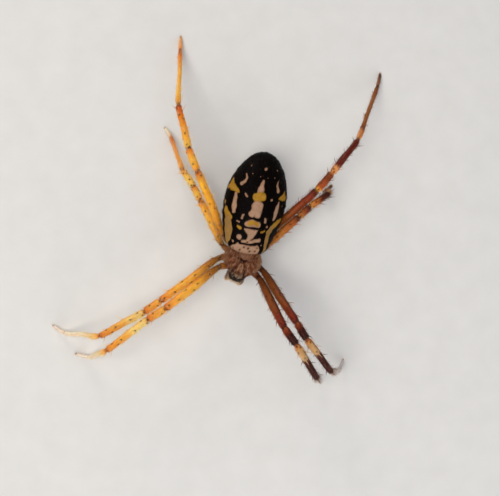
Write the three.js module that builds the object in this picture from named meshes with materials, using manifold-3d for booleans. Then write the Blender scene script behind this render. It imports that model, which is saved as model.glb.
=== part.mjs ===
// An adult female orb weaver spider, standing still on eight legs: a life-size model.
// Millimetres, +Z up, the floor at z = 0. The head points to -Y and the abdomen to +Y,
// so the spider's own right side is -X and its own left side is +X.
import * as THREE from 'three';
import { mergeVertices } from 'three/addons/utils/BufferGeometryUtils.js';
import Module from 'manifold-3d';

const wasm = await Module();
wasm.setup();

// ---------------------------------------------------------------- driving dimensions
const GAP = 0.04;         // clear space between two pieces that meet
const RIM_HEIGHT = 4.9;   // the carapace's flat rim, which the leg bases tuck under
const COXA_HEIGHT = 4.1;  // middle of the leg bases, where they leave the sternum
const FOOT_HEIGHT = 0.13; // middle of a tarsus tip, lower than its radius, so a flat is cut
const FLOOR = { side: 120, depth: 4 }; // a block larger than the stance, which trims the feet
const SIDES = { right: -1, left: 1 };

// The stance isn't quite straight: the front of the body and the abdomen are each turned
// a little to the spider's right, about an upright axis on the middle line. Degrees, mm.
const HEAD_TURN = { angle: -10, y: -1.95 };
const ABDOMEN_TURN = { angle: -2.2, y: 7 };

// Lengths of the stretches of one leg of each pair, and how stout it is.
const LEGS = {
  1: { femur: 9.0, patella: 2.5, tibia: 6.2, metatarsus: 7.1, tarsus: 1.8, stoutness: 1.0 },
  2: { femur: 9.35, patella: 2.4, tibia: 6.2, metatarsus: 7.3, tarsus: 1.8, stoutness: 1.0 },
  3: { femur: 6.4, patella: 1.8, tibia: 3.0, metatarsus: 5.0, tarsus: 1.5, stoutness: 0.9 },
  4: { femur: 9.45, patella: 2.9, tibia: 5.9, metatarsus: 9.3, tarsus: 1.9, stoutness: 0.96 },
};

// Where each leg base leaves the sternum, and its length.
const COXAE = {
  1: { out: 1.12, ahead: 2.88, length: 1.5 },
  2: { out: 1.2, ahead: 2.04, length: 1.5 },
  3: { out: 1.2, ahead: 1.3, length: 1.62 },
  4: { out: 0.78, ahead: 0.5, length: 2.2 },
};

// The pose: [bearing, rise] of each stretch. A bearing turns from straight ahead out to
// the leg's own side and on to the rear, and a rise is up from level: degrees. A metatarsus
// has only a bearing, because its fall is whatever brings the foot down to the floor.
const POSE = {
  right: {
    1: {
      coxa: [74, 15], femur: [42.5, 15], patella: [47, 7],
      tibia: [42, 3.5], metatarsus: 45, tarsus: [90, -24],
    },
    2: {
      coxa: [85, 7], femur: [43.3, 8], patella: [45, 7],
      tibia: [51, 6.5], metatarsus: 78, tarsus: [110, -18],
    },
    3: {
      coxa: [117, -10], femur: [141, 4], patella: [142, -2],
      tibia: [139, -34], metatarsus: 150, tarsus: [138, -24],
    },
    4: {
      coxa: [118, 10], femur: [143, 21], patella: [147, 0],
      tibia: [157, -19], metatarsus: 173, tarsus: [172, -20],
    },
  },
  left: {
    1: {
      coxa: [62, 16], femur: [33, 43.5], patella: [45, 21],
      tibia: [47, -30], metatarsus: 74, tarsus: [50, -56],
    },
    2: {
      coxa: [71, 6], femur: [40.5, 38], patella: [41, 21],
      tibia: [52, -27], metatarsus: 92, tarsus: [160, -38],
    },
    3: {
      coxa: [138, -10], femur: [144.5, 18.5], patella: [145, 8],
      tibia: [136, -7], metatarsus: 140, tarsus: [142, -27],
    },
    4: {
      coxa: [143, -18], femur: [144.5, 17.8], patella: [151, 5],
      tibia: [151, -18], metatarsus: 166, tarsus: [175, -17],
    },
  },
};
const FEMUR_BOW = 0.25; // how far the middle of a femur arches up
const SHANK_BOW = 0.15; // the same for a tibia and a metatarsus

// Each piece of a leg: the bends that it runs between, its rings, and its outline as
// [fraction of its length, radius], the coat's depth included.
const LEG_PIECES = {
  coxa: {
    from: 0, to: 1, rings: 5,
    outline: [[0, 0.32], [0.35, 0.44], [0.7, 0.44], [0.82, 0.39], [1, 0.41]],
  },
  femur: {
    from: 1, to: 3, rings: 8,
    outline: [[0, 0.38], [0.12, 0.44], [0.35, 0.53], [0.65, 0.53], [0.9, 0.48], [1, 0.44]],
  },
  patella: {
    from: 3, to: 4, rings: 4,
    outline: [[0, 0.44], [0.3, 0.49], [0.75, 0.48], [1, 0.41]],
  },
  tibia: {
    from: 4, to: 6, rings: 7,
    outline: [[0, 0.4], [0.2, 0.47], [0.6, 0.44], [0.9, 0.4], [1, 0.35]],
  },
  foot: {
    from: 6, to: 9, rings: 11,
    outline: [[0, 0.34], [0.3, 0.31], [0.7, 0.28], [0.95, 0.26], [1, 0.15]],
  },
};

// How finely each kind of form is cut into faces.
const FINENESS = {
  leg: { faces: 8 },
  fitting: { rings: 9, faces: 8 },
  abdomen: { rings: 18, faces: 24 },
  carapace: { rings: 18, faces: 20 },
  sternum: { rings: 12, faces: 16 },
  mouthparts: { rings: 9, faces: 16 },
  eye: { rings: 6, faces: 8 },
};
const WELD = 1e-4; // vertices closer than this are one

// Stations along the body's forms, crowded where an end rounds off.
// Abdomen: [y, half width, top, bottom].
const ABDOMEN = [
  [-1.1, 0, 6.95, 6.95], [-0.92, 1.38, 7.95, 6.4], [-0.35, 2.46, 8.5, 5.8], [0.8, 3.02, 8.9, 4.4],
  [2.7, 3.52, 9.2, 3.0], [5.1, 3.86, 9.3, 2.7], [7.4, 3.64, 9.1, 2.95], [9.4, 2.9, 8.5, 3.75],
  [10.9, 1.85, 7.6, 4.7], [11.6, 0.85, 6.85, 5.45], [11.8, 0, 6.15, 6.15],
];
// Carapace: [y, half width, rise of its crown over the rim].
const CARAPACE = [
  [-4.7, 0, 0.3], [-4.64, 0.6, 0.64], [-4.43, 0.86, 0.96], [-4.05, 0.96, 1.15], [-3.5, 1.36, 1.22],
  [-2.85, 2.08, 1.18], [-2.0, 2.42, 1.06], [-1.1, 2.28, 0.86], [-0.35, 1.7, 0.56], [0.1, 0.95, 0.28],
  [0.2, 0, 0.12],
];
// Sternum and mouthparts, which hang below the rim: [y, half width, depth].
const STERNUM = [
  [-3.38, 0, 1.0], [-3.3, 0.72, 1.3], [-2.9, 0.98, 1.42], [-2.1, 1.1, 1.5], [-1.4, 1.0, 1.5],
  [-0.85, 0.7, 1.4], [-0.4, 0.4, 1.1], [-0.25, 0, 0.9],
];
const MOUTHPARTS = [
  [-4.06, 0, 1.1], [-4.0, 0.45, 1.5], [-3.85, 0.68, 1.75], [-3.68, 0.72, 1.7], [-3.5, 0.6, 1.5],
  [-3.43, 0, 1.2],
];

// Small round pieces that follow a path: [out, y, z] points, and [fraction, radius].
const CHELICERA = {
  path: [[0.35, -4.34, 4.8], [0.35, -4.44, 3.95], [0.35, -4.44, 2.85]],
  outline: [[0, 0.28], [0.3, 0.32], [0.75, 0.3], [0.95, 0.2], [1, 0.1]],
};
const PALP = {
  path: [[0.93, -3.7, 4.2], [0.96, -4.15, 4.32], [0.94, -4.5, 4.16], [0.86, -4.7, 3.5], [0.76, -4.78, 2.7]],
  outline: [[0, 0.2], [0.2, 0.25], [0.6, 0.25], [0.9, 0.25], [1, 0.14]],
};
const PEDICEL = {
  path: [[0, -0.2, 4.35], [0, 0.5, 4.4], [0, 1.6, 4.6]],
  outline: [[0, 0.28], [0.3, 0.4], [1, 0.6]],
};
const SPINNERETS = {
  path: [[0, 7.7, 3.6], [0, 8.0, 2.8], [0, 8.35, 2.15]],
  outline: [[0, 0.7], [0.5, 0.66], [0.9, 0.42], [1, 0.2]],
};

// Eyes: the bearing and rise of each from the middle of the head, and its radius.
const HEAD_MIDDLE = new THREE.Vector3(0, -3.8, 5.15);
const EYES = {
  front_middle: { bearing: 15, rise: 9, radius: 0.13 },
  rear_middle: { bearing: 24, rise: 42, radius: 0.15 },
  front_side: { bearing: 50, rise: 6, radius: 0.1 },
  rear_side: { bearing: 63, rise: 19, radius: 0.12 },
};
const CLEAR_OF_HEAD = 5; // far enough from the middle of the head to be outside it
const EYE_SINK = 0.4; // how much of its radius an eye's middle lies under the head's surface

// ---------------------------------------------------------------- finishes
const finish = (color, roughness) => new THREE.MeshStandardMaterial({ color, roughness, metalness: 0 });
const FINISHES = {
  right: finish(0xd9901f, 0.45),
  left: finish(0x9a4f22, 0.5),
  carapace: finish(0x8f8478, 0.75),
  abdomen: finish(0x2a1d17, 0.6),
  palp: finish(0xcdb48c, 0.6),
  jaw: finish(0x6b3a1d, 0.4),
  eye: finish(0x0a0706, 0.1),
};

// ---------------------------------------------------------------- helpers
const { degToRad, lerp } = THREE.MathUtils;

/** Unit vector along a bearing and a rise, on one side of the spider. */
function heading(side, bearing, rise) {
  const level = Math.cos(degToRad(rise));
  const out = side * Math.sin(degToRad(bearing)) * level;
  const ahead = Math.cos(degToRad(bearing)) * level;
  return new THREE.Vector3(out, -ahead, Math.sin(degToRad(rise)));
}

/** The same surface with its shared vertices merged and its flat slivers dropped. */
function welded(geometry) {
  const bare = geometry.clone();
  bare.deleteAttribute('normal');
  bare.deleteAttribute('uv');
  const merged = mergeVertices(bare, WELD);
  const corners = merged.getIndex().array;
  const kept = [];
  for (let i = 0; i < corners.length; i += 3) {
    const [a, b, c] = corners.slice(i, i + 3);
    if (a !== b && b !== c && c !== a) kept.push(a, b, c);
  }
  merged.setIndex(kept);
  return merged;
}

/** Moves each vertex (x, y, z) of a turned form to place(x, y, z). */
function moulded(geometry, place) {
  const points = geometry.getAttribute('position');
  for (let i = 0; i < points.count; i += 1) {
    const { x, y, z } = place(points.getX(i), points.getY(i), points.getZ(i));
    points.setXYZ(i, x, y, z);
  }
  return welded(geometry);
}

/** A closed round form swept along a stretch of a path, upright to its side vector. */
function swept(path, [start, end], side, outline, { rings, faces }) {
  const curve = new THREE.SplineCurve(outline.map(([along, radius]) => new THREE.Vector2(radius, along)));
  const profile = curve.getPoints(rings);
  const ends = [new THREE.Vector2(0, 0), new THREE.Vector2(0, 1)];
  const lathe = new THREE.LatheGeometry([ends[0], ...profile, ends[1]], faces);
  return moulded(lathe, (x, y, z) => {
    const t = lerp(start, end, y);
    const forward = path.getTangent(t);
    const across = side.clone().addScaledVector(forward, -side.dot(forward)).normalize();
    const upward = across.clone().cross(forward);
    return path.getPoint(t).addScaledVector(across, x).addScaledVector(upward, z);
  });
}

/** A closed form through stations along Y. section(values, x, z) shapes a unit circle. */
function lofted(stations, { rings, faces }, section) {
  const times = stations.map((_, i) => i / (stations.length - 1));
  const spline = new THREE.CubicInterpolant(times, stations.flat(), stations[0].length);
  const profile = Array.from({ length: rings + 1 }, (_, i) => new THREE.Vector2(1, i / rings));
  profile[0].x = 0;
  profile[rings].x = 0;
  return moulded(new THREE.LatheGeometry(profile, faces), (x, y, z) => section(spline.evaluate(y), x, z));
}

const toSolid = (geometry) => new wasm.Manifold(new wasm.Mesh({
  numProp: 3,
  vertProperties: Float32Array.from(geometry.getAttribute('position').array),
  triVerts: Uint32Array.from(geometry.getIndex().array),
}));

/** The same form turned about an upright axis on the spider's middle line. */
function turned(geometry, { angle, y }) {
  return geometry.translate(0, -y, 0).rotateZ(degToRad(angle)).translate(0, y, 0);
}

/** A form with each of the cutters taken away from it. */
function carved(geometry, ...cutters) {
  const solid = cutters.reduce((rest, cutter) => rest.subtract(toSolid(cutter)), toSolid(geometry));
  const mesh = solid.getMesh();
  const result = new THREE.BufferGeometry();
  result.setAttribute('position', new THREE.BufferAttribute(Float32Array.from(mesh.vertProperties), 3));
  result.setIndex(Array.from(mesh.triVerts));
  return result;
}

const spider = new THREE.Group();

function addPiece(name, geometry, material) {
  const mesh = new THREE.Mesh(geometry, material);
  mesh.name = name;
  spider.add(mesh);
  return mesh;
}

// ---------------------------------------------------------------- abdomen and its fittings
const ovalSection = ([y, halfWidth, top, bottom], x, z) => ({
  x: halfWidth * x,
  y,
  z: (top + bottom) / 2 + (z * (top - bottom)) / 2,
});
const abdomen = turned(lofted(ABDOMEN, FINENESS.abdomen, ovalSection), ABDOMEN_TURN);
addPiece('abdomen', abdomen, FINISHES.abdomen);

/** A small piece on the spider's middle line or on one of its sides. */
function fitting({ path, outline }, side = 1) {
  const curve = new THREE.CatmullRomCurve3(path.map(([out, y, z]) => new THREE.Vector3(side * out, y, z)));
  return swept(curve, [0, 1], new THREE.Vector3(1, 0, 0), outline, FINENESS.fitting);
}
addPiece('pedicel', carved(fitting(PEDICEL), abdomen.clone().translate(0, -GAP, -GAP)), FINISHES.jaw);
const spinnerets = turned(fitting(SPINNERETS), ABDOMEN_TURN);
addPiece('spinnerets', carved(spinnerets, abdomen.clone().translate(0, 0, -GAP)), FINISHES.jaw);

// ---------------------------------------------------------------- carapace with its eyes
const domeSection = ([y, halfWidth, crown], x, z) => ({
  x: halfWidth * x,
  y,
  z: RIM_HEIGHT + crown * Math.max(z, 0),
});
const plainCarapace = lofted(CARAPACE, FINENESS.carapace, domeSection);

/** Where an eye's middle lies, just under the head's surface along its own line. */
function eyeMiddle(side, { bearing, rise, radius }) {
  const outward = heading(side, bearing, rise);
  const start = HEAD_MIDDLE.clone().addScaledVector(outward, CLEAR_OF_HEAD);
  const ray = new THREE.Raycaster(start, outward.clone().negate());
  const [hit] = ray.intersectObject(new THREE.Mesh(plainCarapace));
  return hit.point.addScaledVector(outward, -EYE_SINK * radius);
}

const ball = (middle, radius) => {
  const { faces, rings } = FINENESS.eye;
  return welded(new THREE.SphereGeometry(radius, faces, rings)).translate(...middle);
};
const sockets = [];
for (const [sideWord, side] of Object.entries(SIDES)) {
  for (const [place, eye] of Object.entries(EYES)) {
    const middle = eyeMiddle(side, eye);
    addPiece(`eye_${place}_${sideWord}`, turned(ball(middle, eye.radius), HEAD_TURN), FINISHES.eye);
    sockets.push(ball(middle, eye.radius + GAP));
  }
}
addPiece('carapace', turned(carved(plainCarapace, ...sockets), HEAD_TURN), FINISHES.carapace);

// ---------------------------------------------------------------- underside and mouth
const hangingSection = ([y, halfWidth, depth], x, z) => ({
  x: halfWidth * x,
  y,
  z: RIM_HEIGHT - GAP - depth * Math.sqrt(Math.max(-z, 0)),
});
const sternum = lofted(STERNUM, FINENESS.sternum, hangingSection);
const mouthparts = lofted(MOUTHPARTS, FINENESS.mouthparts, hangingSection);
addPiece('sternum', turned(sternum, HEAD_TURN), FINISHES.jaw);
addPiece('mouthparts', turned(mouthparts, HEAD_TURN), FINISHES.jaw);

for (const [sideWord, side] of Object.entries(SIDES)) {
  addPiece(`chelicera_${sideWord}`, turned(fitting(CHELICERA, side), HEAD_TURN), FINISHES.jaw);
  addPiece(`palp_${sideWord}`, turned(fitting(PALP, side), HEAD_TURN), FINISHES.palp);
}

// ---------------------------------------------------------------- legs
/** The smooth middle line of a leg, through every bend from the sternum to the foot. */
function legPath(sideWord, pair) {
  const side = SIDES[sideWord];
  const lengths = LEGS[pair];
  const pose = POSE[sideWord][pair];
  const { out, ahead, length } = COXAE[pair];
  const points = [new THREE.Vector3(side * out, -ahead, COXA_HEIGHT)];
  const stretch = (direction, reach, bow = 0) => {
    const from = points[points.length - 1];
    const to = from.clone().addScaledVector(direction, reach);
    if (bow) points.push(from.clone().lerp(to, 0.5).add(new THREE.Vector3(0, 0, bow)));
    points.push(to);
    return to;
  };
  stretch(heading(side, ...pose.coxa), length);
  stretch(heading(side, ...pose.femur), lengths.femur, FEMUR_BOW);
  stretch(heading(side, ...pose.patella), lengths.patella);
  const ankle = stretch(heading(side, ...pose.tibia), lengths.tibia, SHANK_BOW);
  const toTip = heading(side, ...pose.tarsus).multiplyScalar(lengths.tarsus);
  const drop = ankle.z + toTip.z - FOOT_HEIGHT;
  const fall = THREE.MathUtils.radToDeg(Math.asin(drop / lengths.metatarsus));
  stretch(heading(side, pose.metatarsus, -fall), lengths.metatarsus, SHANK_BOW);
  stretch(toTip.normalize(), lengths.tarsus);
  return new THREE.CatmullRomCurve3(points, false, 'centripetal');
}

/** How far along a path's own count a piece draws back to leave half a gap. */
function halfGap(path, t) {
  const step = 1e-3;
  const inner = path.getPoint(Math.max(t - step, 0));
  const outer = path.getPoint(Math.min(t + step, 1));
  return (GAP * step) / inner.distanceTo(outer);
}

const block = new THREE.BoxGeometry(FLOOR.side, FLOOR.side, FLOOR.depth);
const floor = welded(block).translate(0, 0, -FLOOR.depth / 2);

/** Adds every piece of one leg, each between its own two bends. */
function addLeg(sideWord, pair) {
  const path = legPath(sideWord, pair);
  const bends = path.points.length - 1;
  const level = path.points[1].clone().sub(path.points[bends]).setZ(0);
  const across = new THREE.Vector3(level.y, -level.x, 0).normalize();
  for (const [part, { from, to, rings, outline }] of Object.entries(LEG_PIECES)) {
    const start = from / bends;
    const end = to / bends;
    const span = [start + halfGap(path, start), end - halfGap(path, end)];
    const sized = outline.map(([along, radius]) => [along, radius * LEGS[pair].stoutness]);
    const form = swept(path, span, across, sized, { rings, ...FINENESS.leg });
    const standing = part === 'foot' ? carved(form, floor) : form;
    addPiece(`leg_${pair}_${sideWord}_${part}`, standing, FINISHES[sideWord]);
  }
}
for (const sideWord of Object.keys(SIDES)) {
  for (const pair of Object.keys(LEGS)) addLeg(sideWord, pair);
}

// The origin is on the floor, under the middle of the whole stance.
const reach = new THREE.Box3().setFromObject(spider);
const middle = reach.getCenter(new THREE.Vector3());
spider.position.set(-middle.x, -middle.y, -reach.min.z);

export default spider;
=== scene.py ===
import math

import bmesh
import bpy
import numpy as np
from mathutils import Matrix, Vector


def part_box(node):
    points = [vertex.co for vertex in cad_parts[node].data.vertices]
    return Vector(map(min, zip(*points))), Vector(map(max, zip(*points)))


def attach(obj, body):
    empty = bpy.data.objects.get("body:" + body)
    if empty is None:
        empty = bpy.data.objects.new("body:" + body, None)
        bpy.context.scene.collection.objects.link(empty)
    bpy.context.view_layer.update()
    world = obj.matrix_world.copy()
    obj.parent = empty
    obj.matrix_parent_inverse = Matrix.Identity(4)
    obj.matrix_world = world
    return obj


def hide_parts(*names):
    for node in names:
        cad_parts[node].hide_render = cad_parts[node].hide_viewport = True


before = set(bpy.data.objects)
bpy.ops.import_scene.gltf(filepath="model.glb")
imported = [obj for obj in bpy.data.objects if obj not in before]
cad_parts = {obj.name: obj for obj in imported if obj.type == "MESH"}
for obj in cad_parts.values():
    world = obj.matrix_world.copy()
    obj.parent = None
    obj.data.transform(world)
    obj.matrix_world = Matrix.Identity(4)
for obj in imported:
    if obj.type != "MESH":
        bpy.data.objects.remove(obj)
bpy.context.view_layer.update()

# %% [markdown]
# # An orb weaver spider, life size
# This notebook dresses a packed set of solids as an adult female orb weaver standing still
# on eight legs. The solids say where each part lies. Everything that is looked at is made
# here: a smooth skin over each part, the colours in that skin, and a coat of short hairs.
# Blender works in metres, and a spider is small, so every size below is written in
# millimetres and multiplied by MM.

MM = 0.001

# %% [markdown]
# ## Camera
# The spider is seen from straight above its back, head down, as one sees it on its web.
# The camera goes in first, so that every later piece can be judged in its view. It is
# turned a little about the line of sight and leans a few degrees to the spider's right.
# The waist, where carapace and abdomen meet, is the point that the whole file measures
# from: x is 0 on the spider's middle line and y grows towards the tip of the abdomen.

# %% The waist and the camera
WAIST_INSET = 0.22
low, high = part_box("pedicel")
WAIST = np.array([(low.x + high.x) / 2, low.y + WAIST_INSET * MM, 0.0])

VIEW_TURN = math.radians(11.7)
VIEW_LEAN = math.radians(-8.0)
VIEW_DISTANCE = 150.0
VIEW_CENTRE = np.array([0.637, -0.25, 5.0])
VIEW_LENS = 86.4
VIEW_NEAREST = 10.0

camera = bpy.data.objects.new("camera", bpy.data.cameras.new("camera"))
bpy.context.collection.objects.link(camera)
camera.data.lens = VIEW_LENS
camera.data.clip_start = VIEW_NEAREST * MM
lean = Matrix.Rotation(VIEW_TURN, 4, "Z") @ Matrix.Rotation(VIEW_LEAN, 4, "Y")
centre = Matrix.Translation(Vector(WAIST + VIEW_CENTRE * MM))
camera.matrix_world = centre @ lean @ Matrix.Translation((0, 0, VIEW_DISTANCE * MM))
bpy.context.scene.camera = camera
print("camera at", [round(c / MM, 1) for c in camera.matrix_world.translation], "mm")

# %% [markdown]
# ## Two turned halves
# A live spider seldom holds itself quite straight. Here the head end is turned ten
# degrees to its right and the abdomen two. Each half is far easier to describe straight,
# in millimetres from the waist, with minus x on the right and plus x on the left. So one
# helper carries such places into the shared frame, and another brings them back.

# %% Turning a half of the body
SIDES = {"right": -1, "left": 1}
HEAD_TURN = (math.radians(-10.0), -1.95)
ABDOMEN_TURN = (math.radians(-2.2), 7.0)


def turn_by(points, angle, y):
    """Points turned about an upright axis that crosses the middle line at y."""
    cos, sin = math.cos(angle), math.sin(angle)
    across, ahead = points[:, 0], points[:, 1] - y
    return np.stack([cos * across - sin * ahead, sin * across + cos * ahead + y, points[:, 2]], axis=1)


def placed(local, half_turn):
    """Millimetres in a half's own straight frame, as places in the shared frame."""
    return turn_by(np.asarray(local, dtype=float), *half_turn) * MM + WAIST


def straightened(places, half_turn):
    """Places in the shared frame, as millimetres in a half's own straight frame."""
    angle, y = half_turn
    return turn_by((places - WAIST) / MM, -angle, y)


# %% [markdown]
# ## Materials are node trees
# A material in Blender is a small network: some nodes read where a point lies or what was
# stored there, others turn that into a colour, a roughness or a height, and the
# Principled BSDF shades the result. Building such a tree by hand repeats the same few
# steps, so each step gets a short helper here. The Mix node has one set of sockets for
# numbers, one for vectors and one for colours, so those for colours are named by number.

# %% Helpers that build node trees
def paint(code):
    """A colour written as RRGGBB, as the linear numbers that a shader wants."""
    levels = [int(code[i:i + 2], 16) / 255 for i in (0, 2, 4)]
    linear = [v / 12.92 if v <= 0.04045 else ((v + 0.055) / 1.055) ** 2.4 for v in levels]
    return (*linear, 1.0)


def set_input(tree, socket, value):
    """Feeds a socket from another one, or sets it to a plain value."""
    if isinstance(value, bpy.types.NodeSocket):
        tree.links.new(value, socket)
    else:
        socket.default_value = value


def add_node(tree, kind, inputs=(), **settings):
    """A new node with its settings, and its inputs by name or number."""
    node = tree.nodes.new(kind)
    for name, value in settings.items():
        setattr(node, name, value)
    for name, value in dict(inputs).items():
        set_input(tree, node.inputs[name], value)
    return node


def reckon(tree, operation, first, second=0.0, clamp=False):
    """One sum on two values."""
    settings = {"operation": operation, "use_clamp": clamp}
    return add_node(tree, "ShaderNodeMath", {0: first, 1: second}, **settings).outputs[0]


MIX_SHARE, MIX_FIRST, MIX_SECOND, MIX_RESULT = 0, 6, 7, 2


def blend(tree, share, first, second, kind="MIX"):
    """The first colour turning into the second as share goes from 0 to 1."""
    inputs = {MIX_SHARE: share, MIX_FIRST: first, MIX_SECOND: second}
    node = add_node(tree, "ShaderNodeMix", inputs, data_type="RGBA", blend_type=kind)
    return node.outputs[MIX_RESULT]


def step_up(tree, value, start, end):
    """0 below start, 1 above end, and a soft step between them."""
    inputs = {"Value": value, "From Min": start, "From Max": end}
    node = add_node(tree, "ShaderNodeMapRange", inputs, interpolation_type="SMOOTHSTEP")
    return node.outputs["Result"]


def stored(tree, name):
    """A value that was stored on the mesh under a name."""
    return add_node(tree, "ShaderNodeAttribute", attribute_name=name).outputs["Fac"]


def place_on(tree):
    """The place of the point on the piece, in metres."""
    return add_node(tree, "ShaderNodeTexCoord").outputs["Object"]


def speckle(tree, size):
    """Soft noise whose blotches are about size millimetres across."""
    inputs = {"Vector": place_on(tree), "Scale": 1 / (size * MM)}
    return add_node(tree, "ShaderNodeTexNoise", inputs).outputs["Fac"]


def bands(tree, value, stops):
    """A colour ramp through (place, colour code) stops."""
    node = add_node(tree, "ShaderNodeValToRGB", {0: value})
    ramp = node.color_ramp
    ramp.elements[0].position, ramp.elements[0].color = stops[0][0], paint(stops[0][1])
    ramp.elements[1].position, ramp.elements[1].color = stops[-1][0], paint(stops[-1][1])
    for place, code in stops[1:-1]:
        ramp.elements.new(place).color = paint(code)
    return node.outputs["Color"]


def new_material(name, **values):
    """A material, its tree and its Principled shader with plain values set on it."""
    material = bpy.data.materials.new(name)
    material.use_nodes = True
    tree = material.node_tree
    shader = tree.nodes["Principled BSDF"]
    for socket, value in values.items():
        shader.inputs[socket.replace("_", " ")].default_value = value
    return material, tree, shader


def plain_material(name, colour_of, **values):
    """An even surface, whose colour a function works out in the material's tree."""
    material, tree, shader = new_material(name, **values)
    tree.links.new(colour_of(tree), shader.inputs["Base Color"])
    return material


# %% [markdown]
# ## The grain of cuticle
# A spider's cuticle is never an even colour. It is mottled, and it is finely wrinkled like
# leather. Every skin on this spider needs that, so the effect is one node group with named
# inputs. It puts out a shade to multiply a colour by, and a height for a Bump node. All
# that differs from skin to skin is the colour, so each skin brings a colour function.

# %% The cuticle grain group
GRAIN_SOCKETS = {
    "Blotch": "INPUT", "Wrinkle": "INPUT", "Contrast": "INPUT", "Shade": "OUTPUT", "Height": "OUTPUT",
}


def make_grain_group():
    """Mottling and fine wrinkles, shared by every skin."""
    group = bpy.data.node_groups.new("cuticle_grain", "ShaderNodeTree")
    for name, way in GRAIN_SOCKETS.items():
        group.interface.new_socket(name, in_out=way, socket_type="NodeSocketFloat")
    given = group.nodes.new("NodeGroupInput").outputs
    place = place_on(group)
    inputs = {"Vector": place, "Scale": given["Blotch"], "Detail": 3.0}
    blotch = add_node(group, "ShaderNodeTexNoise", inputs).outputs["Fac"]
    inputs = {"Vector": place, "Scale": given["Wrinkle"], "Detail": 2.0}
    wrinkle = add_node(group, "ShaderNodeTexNoise", inputs).outputs["Fac"]
    inputs = {"Vector": place, "Scale": given["Wrinkle"]}
    cell = add_node(group, "ShaderNodeTexVoronoi", inputs, feature="SMOOTH_F1").outputs["Distance"]
    both = reckon(group, "SUBTRACT", reckon(group, "ADD", blotch, wrinkle), 1.0)
    shade = reckon(group, "ADD", reckon(group, "MULTIPLY", both, given["Contrast"]), 1.0)
    height = reckon(group, "ADD", reckon(group, "MULTIPLY", wrinkle, 0.6), cell)
    result = group.nodes.new("NodeGroupOutput").inputs
    group.links.new(shade, result["Shade"])
    group.links.new(height, result["Height"])
    return group


CUTICLE_GRAIN = make_grain_group()


def cuticle_material(name, colour_of, blotch, wrinkle, depth, contrast=0.5, **values):
    """Mottled and wrinkled cuticle. The sizes of both and the depth are millimetres."""
    material, tree, shader = new_material(name, **values)
    inputs = {"Blotch": 1 / (blotch * MM), "Wrinkle": 1 / (wrinkle * MM), "Contrast": contrast}
    grain = add_node(tree, "ShaderNodeGroup", inputs, node_tree=CUTICLE_GRAIN).outputs
    tinted = blend(tree, 1.0, colour_of(tree), grain["Shade"], "MULTIPLY")
    tree.links.new(tinted, shader.inputs["Base Color"])
    inputs = {"Height": grain["Height"], "Distance": depth * MM, "Strength": 1.0}
    bump = add_node(tree, "ShaderNodeBump", inputs)
    tree.links.new(bump.outputs["Normal"], shader.inputs["Normal"])
    return material


# %% [markdown]
# ## Floor and light
# The light is soft, as in a studio. A lamp's strength in watts depends on how far off it
# is, and these lamps stand only a hand's breadth away, so under a watt each is plenty.

# %% The floor
FLOOR_WIDTH = 3000.0


def sheet_colour(tree):
    """Pale paper with faint blotches."""
    return blend(tree, speckle(tree, 3.0), paint("DAD8D3"), paint("E4E2DE"))


shape = bmesh.new()
bmesh.ops.create_grid(shape, x_segments=4, y_segments=4, size=FLOOR_WIDTH * MM / 2)
floor_mesh = bpy.data.meshes.new("floor")
shape.to_mesh(floor_mesh)
shape.free()
floor_mesh.materials.append(plain_material("pale_floor", sheet_colour, Roughness=0.85))
floor = bpy.data.objects.new("floor", floor_mesh)
bpy.context.collection.objects.link(floor)

# %% The lamps and the air around them
LAMP_AIM = Vector((0, 0, 5 * MM))
LAMPS = {
    "key": ((-110, -60, 290), 170, 0.48, (1.0, 0.96, 0.9)),
    "fill": ((130, -240, 140), 200, 0.32, (0.98, 0.97, 0.96)),
    "rim": ((-160, 220, 110), 120, 0.24, (1.0, 0.93, 0.82)),
}
SKY_COLOUR = (0.86, 0.9, 1.0, 1.0)
SKY_STRENGTH = 0.42


def add_lamp(name, place, width, watts, colour):
    """A square soft lamp that points at the middle of the spider."""
    data = bpy.data.lights.new(name, "AREA")
    data.size = width * MM
    data.energy = watts
    data.color = colour
    lamp = bpy.data.objects.new(name, data)
    bpy.context.collection.objects.link(lamp)
    lamp.location = Vector(place) * MM
    lamp.rotation_euler = (LAMP_AIM - lamp.location).to_track_quat("-Z", "Y").to_euler()


for name, settings in LAMPS.items():
    add_lamp(name, *settings)
world = bpy.data.worlds.new("studio")
bpy.context.scene.world = world
world.use_nodes = True
sky = world.node_tree.nodes["Background"].inputs
sky["Color"].default_value = SKY_COLOUR
sky["Strength"].default_value = SKY_STRENGTH
bpy.context.scene.view_settings.view_transform = "Standard"
print("stage set: one floor and", len(LAMPS), "lamps")

# %% [markdown]
# ## One way to make every soft form
# A leg, an abdomen and a palp are the same thing to a modeller: a closed skin with two
# ends, drawn along a middle line. So each starts as a ball. The ball's poles become the
# two ends, its rings become stations along the form, and a function called a surface says
# where a point lies when it is so far along and so far around. The same function places
# the hairs later, so a coat always follows its skin.

# %% From a surface function to a skin
def smooth_between(knots, values, wanted):
    """Values on a smooth curve through the knots, at each wanted place."""
    knots = np.asarray(knots, dtype=float)
    values = np.asarray(values, dtype=float)
    wanted = np.clip(wanted, knots[0], knots[-1])
    slopes = np.gradient(values, knots, axis=0)
    left = np.clip(np.searchsorted(knots, wanted, side="right") - 1, 0, len(knots) - 2)
    span = knots[left + 1] - knots[left]
    t = (wanted - knots[left]) / span
    if values.ndim > 1:
        t, span = t[..., None], span[..., None]
    rise = values[left + 1] - values[left]
    start, end = slopes[left] * span, slopes[left + 1] * span
    return values[left] + t * (start + t * (3 * rise - 2 * start - end + t * (start + end - 2 * rise)))


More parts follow.
